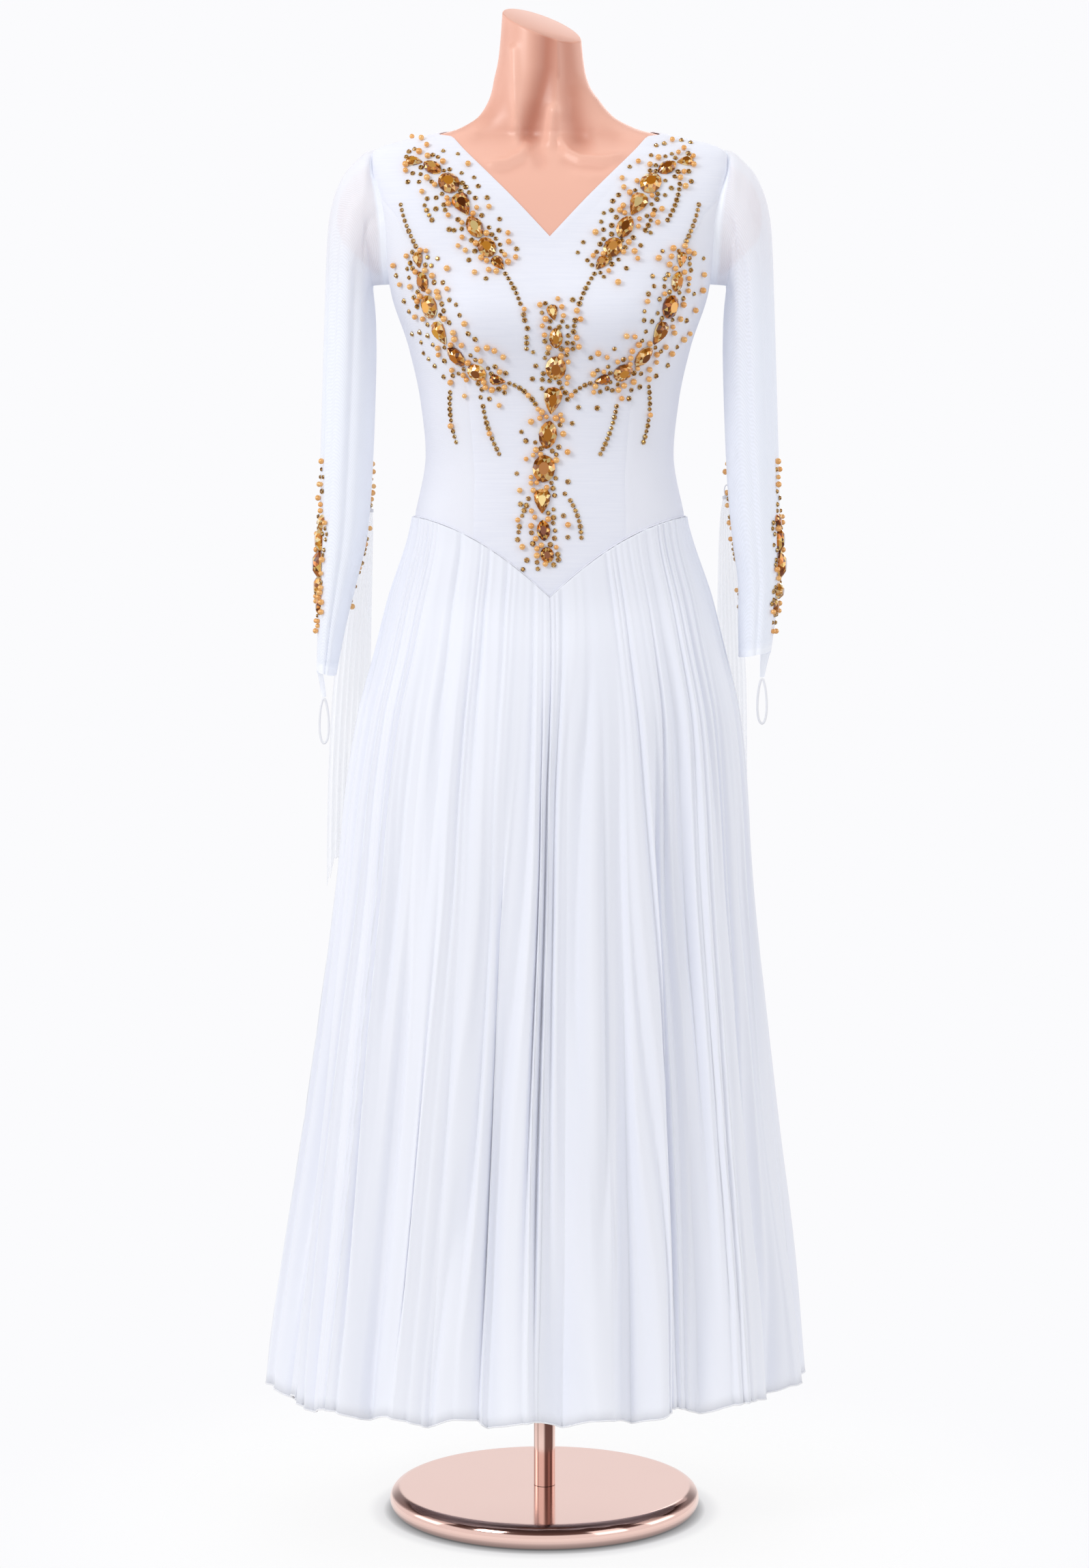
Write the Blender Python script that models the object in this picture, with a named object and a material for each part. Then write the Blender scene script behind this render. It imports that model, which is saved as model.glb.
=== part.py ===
"""A ballroom dance dress on a limbless dress form with a pole and a round base plate.

Metres, +Z up. The origin is the centre of the base plate's underside. The dress faces -Y, so the
wearer's left is +X. Angles round the body are called turns: 0 at centre front, a quarter circle at
the wearer's left side, half a circle at centre back.
"""

import math

import bmesh
import bpy
import numpy as np
from mathutils import Vector
from mathutils.bvhtree import BVHTree

# Driving sizes
WALL = 0.0012  # thickness of every cloth wall
MITRE_MOST = 3.5  # at the edge of a sharp fold a wall is at most this much deeper
SEAM_GAP = 0.0004  # between two pieces at a seam
FORM_GAP = 0.0042  # between the cloth's inside and the dress form, before either is faceted
CENTRE_X = 0.005  # the form stands this far to the left of its pole
QUARTER = math.pi / 2
STEP = 1e-4  # for slopes taken by small differences

BASE_RADIUS = 0.1535
BASE_THICK = 0.024
POLE_RADIUS = 0.0106
POLE_PLAY = 0.0003
BASE_SIDES = 40
POLE_SIDES = 16
RIM_STEPS = 5

FORM_BOTTOM = 0.780
NECK_TOP = 1.4527
NECK_SLANT = -0.345  # rise of the cut neck for each metre to the left
NECK_TILT = 0.34  # and for each metre to the back
NECK_BEND_FROM = 1.385  # the rings start to tilt towards the cut here
NECK_LEAN = -0.0075  # how far the neck stands to the left of the middle of the dress
NECK_LEAN_TO = 1.400  # in full from here up
FORM_TURNS = 30
STUMP_CENTRE = (0.151, 0.005, 1.2715)
STUMP_SIZE = (0.0545, 0.0450, 0.0560)
STUMP_CUT = (0.1925, 0.0, 1.2405)
STUMP_AROUND, STUMP_ALONG = 16, 10  # facets of the ball that a stump is cut from

WAIST_SIDE = 0.984  # height of the waist seam at the sides and back
BASQUE_TIP = 0.9085  # and at its point in front
BASQUE_CURVE = 1.8
V_BOTTOM = 1.2485
NECK_POINT = 1.354  # height of the shoulder seam at the neck
BACK_NECK = 1.340
ARM_MIDDLE = 1.2728
ARM_HALF_HEIGHT = 0.0653
ARM_HALF_TURN = math.radians(32)
PRINCESS_TOP = 1.2905  # where the princess seam meets the armhole
WAIST_PRINCESS = (0.0725, 0.967)  # where it meets the waist seam
CENTRE_ROWS = 13  # rows of the front below the neck's V
SEAM_STEPS = 13  # points that a seam is worked out at, before its own count
# The points of each seam, and how much closer together they lie near its end
SEAM_POINTS = {
    "princess": (CENTRE_ROWS, 1.0),
    "front_arc": (8, 1.4),
    "lower_arc": (6, 1.0),
    "side_seam": (13, 1.0),
    "back_arc": (10, 1.5),
    "shoulder": (5, 1.0),
    "centre": (CENTRE_ROWS, 1.0),
    "neck_edge": (8, 1.4),
    "waist_front": (8, 1.0),
    "waist_side": (6, 1.0),
    "waist_back": (9, 1.0),
    "centre_back": (22, 1.25),
    "neck_back": (5, 1.0),
}
SIDE_NAME = {1: "left", -1: "right"}

# The body under the dress, at the dress's outer face
BODY = {
    "height": (0.780, 0.860, 0.920, 0.984, 1.045, 1.094, 1.147, 1.199, 1.250, 1.290, 1.315,
               1.330, 1.338, 1.345, 1.350, 1.3554, 1.362, 1.3684, 1.3814, 1.3944, 1.4203, 1.480),
    "side": (0.156, 0.155, 0.1435, 0.1310, 0.1203, 0.1250, 0.1364, 0.1530, 0.1595, 0.1640, 0.1680,
             0.1675, 0.1610, 0.140, 0.116, 0.0920, 0.0760, 0.0655, 0.0545, 0.0480, 0.0412, 0.0360),
    "front": (0.094, 0.096, 0.094, 0.090, 0.086, 0.090, 0.095, 0.094, 0.084, 0.070, 0.055,
              0.044, 0.037, 0.034, 0.033, 0.034, 0.035, 0.036, 0.037, 0.037, 0.037, 0.036),
    "back": (0.100, 0.104, 0.100, 0.091, 0.078, 0.078, 0.084, 0.092, 0.098, 0.094, 0.080,
             0.064, 0.054, 0.048, 0.047, 0.047, 0.047, 0.048, 0.049, 0.049, 0.048, 0.046),
    "square": (0.05, 0.05, 0.05, 0.05, 0.05, 0.05, 0.07, 0.12, 0.18, 0.20, 0.20,
               0.20, 0.16, 0.10, 0.05, 0.02, 0.0, 0.0, 0.0, 0.0, 0.0, 0.0),
}
BACK_SQUARE = 0.5  # the back rounds off this much of the front's squareness
# The dress fills out evenly over the bust
BUST = {"height": 1.172, "apart": 0.066, "width": 0.046, "tall": 0.040, "full": 0.021}
BUST_BRIDGE = 0.35  # how little the cloth dips between the breasts
BRIDGE_SOFT = 0.012  # the dip is round over this width
FORM_BUST = 0.65  # the form is this share as full there

PRINCESS = {
    "height": (1.02, 1.075, 1.115, 1.145, 1.170, 1.230, 1.272),
    "across": (0.0715, 0.0755, 0.0800, 0.0885, 0.0985, 0.1235, 0.1480),
}
NECK_EDGE = {
    "height": (V_BOTTOM, 1.283, 1.311, 1.334, 1.347),
    "across": (0.0, 0.0320, 0.0595, 0.0820, 0.0930),
}

# The skirt's outline, with its folds
SKIRT = {
    "height": (0.100, 0.124, 0.2616, 0.3844, 0.5065, 0.628, 0.7086, 0.7888, 0.8555, 0.9087, 0.9352,
               0.9617, 0.984),
    "side": (0.2735, 0.2710, 0.2550, 0.2385, 0.2227, 0.2070, 0.1993, 0.1882, 0.1713, 0.1575, 0.1491,
             0.1400, 0.1325),
    "front": (0.1815, 0.1800, 0.1700, 0.1600, 0.1500, 0.1410, 0.1340, 0.1250, 0.1120, 0.0985, 0.0965,
              0.0945, 0.0915),
    "back": (0.1820, 0.1805, 0.1720, 0.1640, 0.1570, 0.1500, 0.1450, 0.1390, 0.1290, 0.1160, 0.1090,
             0.1010, 0.0930),
    "middle": (-0.007, -0.007, -0.004, -0.002, 0.0, 0.002, 0.003, 0.005, 0.006, 0.006, 0.006,
               0.006, 0.005),
}
PLEATS = 80
PLEAT_TOP = 0.0012  # depth of a pleat at the waist seam
PLEAT_FULL = 0.0064  # and from the middle of the skirt down
PLEAT_OPEN = 0.5  # share of the skirt's length at which the pleats are that deep
PLEAT_CURVE = 0.8
SKIRT_ROWS = (0.0, 0.03, 0.10, 0.22, 0.45, 0.72, 1.0)
SKIRT_OUT = 0.0026  # the skirt's top edge stands this far out from the bodice's face
SKIRT_FREE = 0.10  # and from this share of its length on it hangs free of the body
SKIRT_CLEAR = 0.0005  # least distance of the skirt's outer face outside the body's
HEM_FRONT = 0.1265
HEM_TILT = 0.005  # the hem is higher on the wearer's left
WAVES = 20
WAVE_DROP = 0.0035  # the hem waves up and down by this much
WAVE_OUT = 0.0095  # and in and out by this much
WAVE_CURVE = 1.2
WAVE_DRIFT = ((3, 0.9, 0.0), (2, 1.3, 0.7))  # what keeps the waves from being even
# Large folds: where round the skirt in degrees, half width in degrees, depth at the hem, the share
# of the skirt's length at which the fold starts, and at which it is fully open
FOLDS = (
    (0.5, 3.2, 0.0130, 0.10, 0.34),
    (-13.0, 3.4, 0.0100, 0.25, 0.50),
    (33.0, 7.0, 0.0190, 0.20, 0.60),
    (-34.0, 5.0, 0.0110, 0.35, 0.75),
    (62.0, 6.0, 0.0120, 0.40, 0.85),
    (-70.0, 7.0, 0.0140, 0.30, 0.80),
    (112.0, 6.5, 0.0130, 0.30, 0.75),
    (-118.0, 6.0, 0.0120, 0.40, 0.80),
    (149.0, 5.0, 0.0150, 0.22, 0.60),
    (-151.0, 6.0, 0.0130, 0.28, 0.70),
    (181.0, 4.0, 0.0120, 0.18, 0.50),
)

# A sleeve from the shoulder down: its outer and inner edge seen from the front, as distance from
# the dress's centre and height, and half its depth from front to back
SLEEVE = (
    (0.1765, 1.3345, 0.1705, 1.2065, 0.0545),
    (0.1870, 1.3255, 0.1710, 1.2040, 0.0565),
    (0.1965, 1.3155, 0.1710, 1.2010, 0.0575),
    (0.2045, 1.3010, 0.1705, 1.1975, 0.0575),
    (0.2100, 1.2850, 0.1700, 1.1930, 0.0570),
    (0.2138, 1.2642, 0.1693, 1.1870, 0.0560),
    (0.2158, 1.2350, 0.1686, 1.1770, 0.0550),
    (0.2172, 1.2000, 0.1681, 1.1640, 0.0540),
    (0.2190, 1.1500, 0.1680, 1.1350, 0.0520),
    (0.2212, 1.0850, 0.1697, 1.0800, 0.0500),
    (0.2235, 1.0150, 0.1730, 1.0130, 0.0480),
    (0.2245, 0.9617, 0.1780, 0.9617, 0.0455),
)
CUFF_LEFT = (
    (0.2240, 0.9200, 0.1835, 0.9200, 0.0410),
    (0.2205, 0.8850, 0.1838, 0.8830, 0.0370),
    (0.2162, 0.8530, 0.1845, 0.8470, 0.0340),
)
CUFF_RIGHT = (
    (0.2252, 0.9200, 0.1880, 0.9200, 0.0415),
    (0.2264, 0.8780, 0.1990, 0.8760, 0.0385),
    (0.2274, 0.8340, 0.2085, 0.8290, 0.0360),
)
SLEEVE_SEAM = 0.0008  # the sleeve's top ring lies this far inside the armhole's edge
SLEEVE_BACK = 0.005  # the sleeves hang this far behind the middle
TAB_FROM = -1.36  # the stretch of the cuff, in radians, that runs on into the hand tab
TAB_TO = 0.02
TAB_ROWS = (0.0, 0.35, 0.7, 1.0)
TAB_SHIFT = 0.004  # its end lies this far inside the middle of the stretch
TAB_LENGTH = 0.024
TAB_END_WIDTH = 0.0045
LOOP_LENGTH = 0.046
LOOP_WIDTH = 0.0122
LOOP_THICK = 0.0026
LOOP_SIDES = 6
LOOP_POINTS = 20
LOOP_TAPER = (0.72, 0.42)  # its width at the top, and how much wider it gets downwards

# A pleated float behind each elbow: its edges seen from the front, nearest the skirt first, and how
# far back it hangs
FLOAT_LEFT = {
    "height": (1.0040, 0.985, 0.950, 0.880, 0.800, 0.720, 0.6450),
    "inner": (0.1705, 0.1680, 0.1670, 0.1665, 0.1680, 0.1700, 0.1710),
    "outer": (0.1760, 0.1800, 0.1850, 0.1920, 0.1965, 0.1980, 0.2010),
    "back": (0.0272, 0.0400, 0.0530, 0.0650, 0.0760, 0.0850, 0.0920),
}
FLOAT_RIGHT = {
    "height": (0.9910, 0.975, 0.940, 0.870, 0.790, 0.720, 0.6535),
    "inner": (0.1740, 0.1740, 0.1750, 0.1770, 0.1790, 0.1830, 0.1880),
    "outer": (0.1795, 0.1860, 0.1950, 0.2080, 0.2175, 0.2220, 0.2235),
    "back": (0.0334, 0.0480, 0.0560, 0.0640, 0.0740, 0.0820, 0.0880),
}
FLOAT_PLEATS = 7
FLOAT_DEPTH = 0.0040
FLOAT_CLOSED = 0.12  # share of that depth at the top
FLOAT_TAIL = 0.041  # the outermost fold hangs this much lower
FLOAT_TAIL_PART = 0.2  # share of the width in which that tail falls
FLOAT_STEP = {"from": 0.55, "to": 0.9, "drop": 0.013}

# Large stones in sprigs of a plain design: a curve of four points across the front, each as
# distance from the centre and height, then the count, the end stones' length and the middle one's
SPRIGS = {
    "shoulder": (((0.137, 1.322), (0.088, 1.322), (0.084, 1.262), (0.043, 1.216)), 7, 0.014, 0.025),
    "bust": (((0.126, 1.236), (0.116, 1.176), (0.098, 1.118), (0.040, 1.112)), 7, 0.013, 0.024),
    "centre": (((0.0, 1.186), (0.022, 1.115), (-0.024, 1.030), (0.0, 0.938)), 9, 0.013, 0.027),
}
ARM_SPRIG = {"top": 0.985, "bottom": 0.888, "turn": -0.62, "count": 5, "end": 0.012, "middle": 0.027}
ARM_SPRIG_BOW = 0.25
STONE_WIDTH = 0.60  # share of a stone's length
STONE_HEIGHT = 0.30
STONE_LIFT = 0.0013  # the stones lie this far off the cloth
STONE_FLOOR = 0.55  # height of a stone's pointed end, as a share of its middle
# Sections of a stone: how far along its length, and how wide
STONE_STATIONS = ((-0.47, 0.34), (-0.20, 0.96), (0.20, 0.96), (0.47, 0.34))
# A section: how far across its width, and how high
STONE_PROFILE = ((-0.5, 0.0), (0.5, 0.0), (0.36, 0.72), (0.0, 1.0), (-0.36, 0.72))
ABOVE = 0.010  # height from which a stone's points are dropped onto the cloth

COLOURS = {
    "bodice_crepe": ((0.90, 0.91, 0.94), 0.75, 0.0),
    "power_mesh": ((0.91, 0.90, 0.92), 0.70, 0.0),
    "sleeve_mesh": ((0.93, 0.93, 0.95), 0.65, 0.0),
    "chiffon": ((0.89, 0.91, 0.95), 0.70, 0.0),
    "elastic": ((0.94, 0.94, 0.95), 0.60, 0.0),
    "crystal": ((0.80, 0.52, 0.16), 0.10, 0.2),
    "form_plastic": ((0.90, 0.66, 0.56), 0.28, 0.0),
    "rose_gold": ((0.83, 0.60, 0.51), 0.25, 1.0),
}


def clear_scene():
    for thing in list(bpy.data.objects):
        bpy.data.objects.remove(thing, do_unlink=True)


def material(name):
    found = bpy.data.materials.get(name)
    if found:
        return found
    colour, roughness, metallic = COLOURS[name]
    made = bpy.data.materials.new(name)
    made.use_nodes = True
    shader = made.node_tree.nodes["Principled BSDF"]
    shader.inputs["Base Color"].default_value = (*colour, 1.0)
    shader.inputs["Roughness"].default_value = roughness
    shader.inputs["Metallic"].default_value = metallic
    made.diffuse_color = (*colour, 1.0)
    return made


def add_mesh(name, points, faces, finish):
    mesh = bpy.data.meshes.new(name)
    mesh.from_pydata([tuple(p) for p in points], [], faces)
    bm = bmesh.new()
    bm.from_mesh(mesh)
    bmesh.ops.recalc_face_normals(bm, faces=bm.faces)
    bm.to_mesh(mesh)
    bm.free()
    mesh.shade_smooth()
    mesh.set_sharp_from_angle(angle=math.radians(40))
    mesh.materials.append(material(finish))
    made = bpy.data.objects.new(name, mesh)
    bpy.context.scene.collection.objects.link(made)
    return made


def smooth_value(column, table, at):
    """A column of a table read at a height, along a curve that never overshoots its rows."""
    xs = np.array(table["height"])
    ys = np.array(table[column])
    slopes = np.diff(ys) / np.diff(xs)
    ends = np.zeros(len(xs))
    ends[0], ends[-1] = slopes[0], slopes[-1]
    for i in range(1, len(xs) - 1):
        if slopes[i - 1] * slopes[i] > 0:
            ends[i] = 2 * slopes[i - 1] * slopes[i] / (slopes[i - 1] + slopes[i])
    i = int(np.clip(np.searchsorted(xs, at) - 1, 0, len(xs) - 2))
    width = xs[i + 1] - xs[i]
    u = (at - xs[i]) / width
    return (
        ys[i] * (1 + 2 * u) * (1 - u) ** 2
        + ends[i] * width * u * (1 - u) ** 2
        + ys[i + 1] * u * u * (3 - 2 * u)
        + ends[i + 1] * width * u * u * (u - 1)
    )


def body_skin(turn, height, bust=1.0):
    side = smooth_value("side", BODY, height)
    front = smooth_value("front", BODY, height)
    back = smooth_value("back", BODY, height)
    facing = math.cos(turn)
    square = smooth_value("square", BODY, height) * (1.0 if facing > 0 else BACK_SQUARE)
    out = 1 + square * math.sin(2 * turn) ** 2
    x = side * math.sin(turn) * out
    y = -(front if facing > 0 else back) * facing * out
    if facing > 0:
        across = math.hypot(x, BRIDGE_SOFT)
        apart = max(across - BUST["apart"], BUST_BRIDGE * (BUST["apart"] - across))
        near = (apart / BUST["width"]) ** 2 + ((height - BUST["height"]) / BUST["tall"]) ** 2
        y -= bust * BUST["full"] * math.exp(-near) * min(1.0, facing * 2)
    return np.array((x + CENTRE_X, y, height))


def body_normal(turn, height):
    round_about = body_skin(turn + STEP, height) - body_skin(turn - STEP, height)
    upwards = body_skin(turn, height + STEP) - body_skin(turn, height - STEP)
    normal = np.cross(round_about, upwards)
    return normal / np.linalg.norm(normal)


def on_body(turn, height, out=0.0):
    return body_skin(turn, height) + out * body_normal(turn, height)


def turn_across(across, height):
    """The turn at which the front of the body is this far from the centre."""
    side = 1 if across >= 0 else -1
    low, high = 0.0, QUARTER * 0.999
    for _ in range(40):
        middle = (low + high) / 2
        if body_skin(middle, height)[0] - CENTRE_X < abs(across):
            low = middle
        else:
            high = middle
    return side * low


def waist_seam(turn):
    if math.cos(turn) <= 0:
        return WAIST_SIDE
    rise = 1 - (1 - abs(math.sin(turn))) ** BASQUE_CURVE
    return BASQUE_TIP + (WAIST_SIDE - BASQUE_TIP) * rise


def armhole(angle):
    """Turn and height on the armhole: angle 0 is its top, a quarter its back, half its underarm."""
    turn = QUARTER + ARM_HALF_TURN * math.sin(angle)
    return turn, ARM_MIDDLE + ARM_HALF_HEIGHT * math.cos(angle)


def resample(points, count, pull=1.0):
    """That many points of a path of (turn, height), closer together near its end if pull is over 1."""
    table = np.array(points, float)
    placed = np.array([body_skin(*p) for p in table])
    steps = np.linalg.norm(np.diff(placed, axis=0), axis=1)
    along = np.concatenate([[0], np.cumsum(steps)])
    wanted = along[-1] * (1 - (1 - np.linspace(0, 1, count)) ** pull)
    return np.array([[np.interp(w, along, table[:, k]) for k in (0, 1)] for w in wanted])


def nearest_on_body(target, turn, height):
    """The turn and height of the body's point nearest the target, from a first guess."""
    most_turn, most_rise = 0.3, 0.02
    for _ in range(8):
        here = body_skin(turn, height)
        slopes = np.array(
            (
                (body_skin(turn + STEP, height) - here) / STEP,
                (body_skin(turn, height + STEP) - here) / STEP,
            )
        )
        move = np.linalg.lstsq(slopes.T, target - here, rcond=None)[0]
        turn += float(np.clip(move[0], -most_turn, most_turn))
        height += float(np.clip(move[1], -most_rise, most_rise))
    return turn, height


def panel_grid(bottom, top, inner, outer):
    """A grid of (turn, height) on the body, filled in between a panel's four edges."""
    guesses = filled(bottom, top, inner, outer)
    placed = [np.array([body_skin(*p) for p in edge]) for edge in (bottom, top, inner, outer)]
    spots = filled(*placed)
    rows, columns = guesses.shape[:2]
    for i in range(1, rows - 1):
        for j in range(1, columns - 1):
            guesses[i, j] = nearest_on_body(spots[i, j], *guesses[i, j])
    return guesses


def filled(bottom, top, inner, outer):
    """A grid of points blended from its four edges, whatever their coordinates are."""
    rows, columns = len(inner), len(bottom)
    grid = np.zeros((rows, columns, bottom.shape[1]))
    for i in range(rows):
        v = i / (rows - 1)
        for j in range(columns):
            u = j / (columns - 1)
            across = (1 - u) * inner[i] + u * outer[i]
            along = (1 - v) * bottom[j] + v * top[j]
            corners = (
                (1 - u) * (1 - v) * bottom[0]
                + u * (1 - v) * bottom[-1]
                + (1 - u) * v * top[0]
                + u * v * top[-1]
            )
            grid[i, j] = across + along - corners
    return grid


def pull_back(rim, inside):
    """Moves a row of edge points square to the edge, towards the row inside it, by half the seam gap."""
    along = np.gradient(rim, axis=0)
    along /= np.linalg.norm(along, axis=1, keepdims=True)
    away = inside - rim
    away -= (away * along).sum(axis=1, keepdims=True) * along
    rim += SEAM_GAP / 2 * away / np.linalg.norm(away, axis=1, keepdims=True)


def grid_quads(rows, columns, ring=False):
    """Faces between the rows of a grid of points, numbered row by row; a ring closes on itself."""
    quads = []
    for i in range(rows - 1):
        here, above = i * columns, (i + 1) * columns
        for j in range(columns if ring else columns - 1):
            k = (j + 1) % columns
            quads.append((here + j, here + k, above + k, above + j))
    return quads


def halved(quads, points):
    """Each quad as two triangles on its shorter diagonal."""
    halves = []
    for a, b, c, d in quads:
        if np.linalg.norm(points[a] - points[c]) <= np.linalg.norm(points[b] - points[d]):
            halves += [(a, b, c), (a, c, d)]
        else:
            halves += [(a, b, d), (b, c, d)]
    return halves


def add_wall(name, outer, inner, quads, finish):
    """A closed cloth wall between two layers of the same points, with a rim along every free edge."""
    count = len(outer)
    halves = halved(quads, outer)
    faces = halves + [tuple(count + k for k in half[::-1]) for half in halves]
    uses = {}
    for half in halves:
        for a, b in zip(half, half[1:] + half[:1]):
            uses.setdefault(frozenset((a, b)), []).append((a, b))
    for ends in uses.values():
        if len(ends) == 1:
            a, b = ends[0]
            faces.append((b, a, count + a, count + b))
    return add_mesh(name, np.concatenate([outer, inner]), faces, finish)


def add_panel(name, grids, finish, joined=0):
    """A cloth wall over grids of (turn, height), whose first columns are one line for the joined rows."""
    layers = ([], [])
    quads = []
    index = {}
    for grid in grids:
        rows, columns = grid.shape[:2]
        placed = []
        for out in (0.0, -WALL):
            layer = np.array([[on_body(*p, out) for p in row] for row in grid])
            pull_back(layer[0], layer[1])
            pull_back(layer[-1], layer[-2])
            pull_back(layer[:, -1], layer[:, -2])
            if joined < rows:
                pull_back(layer[joined:, 0], layer[joined:, 1])
            placed.append(layer.reshape(-1, 3))
        known = []
        for outer, inner in zip(*placed):
            key = tuple(np.round(outer, 6))
            if key not in index:
                index[key] = len(layers[0])
                layers[0].append(outer)
                layers[1].append(inner)
            known.append(index[key])
        quads += [tuple(known[k] for k in quad) for quad in grid_quads(rows, columns)]
    add_wall(name, np.array(layers[0]), np.array(layers[1]), quads, finish)


def seams(side):
    """The paths that the bodice's panels share on one side, as (turn, height)."""
    shares = np.linspace(0, 1, SEAM_STEPS)
    princess_foot = turn_across(*WAIST_PRINCESS)
    princess_top = -math.acos((PRINCESS_TOP - ARM_MIDDLE) / ARM_HALF_HEIGHT)
    lower_arc = [armhole(princess_top - (math.pi + princess_top) * s) for s in shares]
    front_arc = [armhole(princess_top * (1 - s)) for s in shares]
    princess = [(princess_foot, waist_seam(princess_foot))]
    princess += [(turn_across(a, h), h) for h, a in zip(PRINCESS["height"], PRINCESS["across"])]
    neck_edge = [(turn_across(a, h), h) for h, a in zip(NECK_EDGE["height"], NECK_EDGE["across"])]
    shoulder_rise = front_arc[-1][1] - NECK_POINT
    neck_rise = NECK_POINT - BACK_NECK
    paths = {
        "princess": princess + [front_arc[0]],
        "front_arc": front_arc,
        "lower_arc": lower_arc,
        "side_seam": [(QUARTER, WAIST_SIDE + (lower_arc[-1][1] - WAIST_SIDE) * s) for s in shares],
        "back_arc": [armhole(math.pi * (1 - s)) for s in shares],
        "shoulder": [(QUARTER, NECK_POINT + shoulder_rise * s) for s in shares],
        "centre": [(0.0, BASQUE_TIP + (V_BOTTOM - BASQUE_TIP) * s) for s in shares],
        "neck_edge": neck_edge + [(QUARTER, NECK_POINT)],
        "waist_front": [(t, waist_seam(t)) for t in princess_foot * shares],
        "waist_side": [(t, waist_seam(t)) for t in princess_foot + (QUARTER - princess_foot) * shares],
        "waist_back": [(t, waist_seam(t)) for t in QUARTER * (2 - shares)],
        "centre_back": [(2 * QUARTER, WAIST_SIDE + (BACK_NECK - WAIST_SIDE) * s) for s in shares],
        "neck_back": [
            (QUARTER * (2 - s), BACK_NECK + neck_rise * math.sin(QUARTER * s) ** 2) for s in shares
        ],
    }
    return {name: resample(paths[name], *SEAM_POINTS[name]) * (side, 1) for name in paths}


def add_bodice():
    fronts, backs = [], []
    for side in (1, -1):
        path = seams(side)
        shoulder = resample(path["shoulder"], len(path["waist_front"]))
        inner = np.concatenate([path["centre"], path["neck_edge"][1:]])
        outer = np.concatenate([path["princess"], path["front_arc"][1:]])
        fronts.append(panel_grid(path["waist_front"], shoulder, inner, outer))
        side_front = panel_grid(path["waist_side"], path["lower_arc"], path["princess"], path["side_seam"])
        add_panel("bodice_side_front_" + SIDE_NAME[side], [side_front], "power_mesh")
        top = np.concatenate([path["neck_back"], path["shoulder"][1:]])
        outer = np.concatenate([path["side_seam"], path["back_arc"][1:]])
        backs.append(panel_grid(path["waist_back"], top, path["centre_back"], outer))
    add_panel("bodice_front", fronts, "bodice_crepe", joined=CENTRE_ROWS)
    add_panel("bodice_back", backs, "bodice_crepe", joined=len(backs[0]))


def sleeve_rows(side):
    return SLEEVE + (CUFF_LEFT if side > 0 else CUFF_RIGHT)


def sleeve_ring(side, row, angle, inwards):
    """A point of a sleeve's ring: angle 0 is the outer edge, a quarter the back."""
    outer_x, outer_z, inner_x, inner_z, depth = row
    outer = np.array((outer_x, outer_z))
    inner = np.array((inner_x, inner_z))
    half = np.linalg.norm(outer - inner) / 2
    across, height = (outer + inner) / 2 + (outer - inner) / 2 * (1 - inwards / half) * math.cos(angle)
    return np.array((CENTRE_X + side * across, SLEEVE_BACK + (depth - inwards) * math.sin(angle), height))


def sleeve_skin(side, place, angle, out=0.0):
    """A point on a sleeve, where place counts its rows from the shoulder."""
    rows = sleeve_rows(side)
    i = min(int(place), len(rows) - 2)
    part = place - i
    near = sleeve_ring(side, rows[i], angle, -out)
    return near * (1 - part) + sleeve_ring(side, rows[i + 1], angle, -out) * part


def armhole_edge():
    """(turn, height) of the bodice's points round the left armhole, from the underarm up the front."""
    path = seams(1)
    return np.concatenate(
        [path["lower_arc"][::-1], path["front_arc"][1:], path["back_arc"][::-1][1:-1]]
    )


def sleeve_angles():
    """The angle round a sleeve at each point of the armhole's edge."""
    angles = []
    for turn, height in armhole_edge():
        sideways = (turn - QUARTER) / ARM_HALF_TURN
        angles.append(math.atan2(sideways, (height - ARM_MIDDLE) / ARM_HALF_HEIGHT))
    return angles


def armhole_ring(side, inwards):
    """The sleeve's first ring, which faces the middle of the bodice's rim."""
    shrink = 1 - (SLEEVE_SEAM + inwards) / ARM_HALF_HEIGHT
    ring = []
    for turn, height in armhole_edge():
        turn = QUARTER + (turn - QUARTER) * shrink
        height = ARM_MIDDLE + (height - ARM_MIDDLE) * shrink
        point = on_body(turn, height, -WALL / 2)
        ring.append(np.array((CENTRE_X + side * (point[0] - CENTRE_X), point[1], point[2])))
    return ring


def add_sleeve(side):
    angles = sleeve_angles()
    walls = []
    for inwards in (0.0, WALL):
        grid = [armhole_ring(side, inwards)]
        grid += [[sleeve_ring(side, row, a, inwards) for a in angles] for row in sleeve_rows(side)]
        walls.append(np.array(grid))
    quads = grid_quads(len(walls[0]), len(angles), ring=True)
    outer, inner = (wall.reshape(-1, 3) for wall in walls)
    add_wall("sleeve_" + SIDE_NAME[side], outer, inner, quads, "sleeve_mesh")


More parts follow.
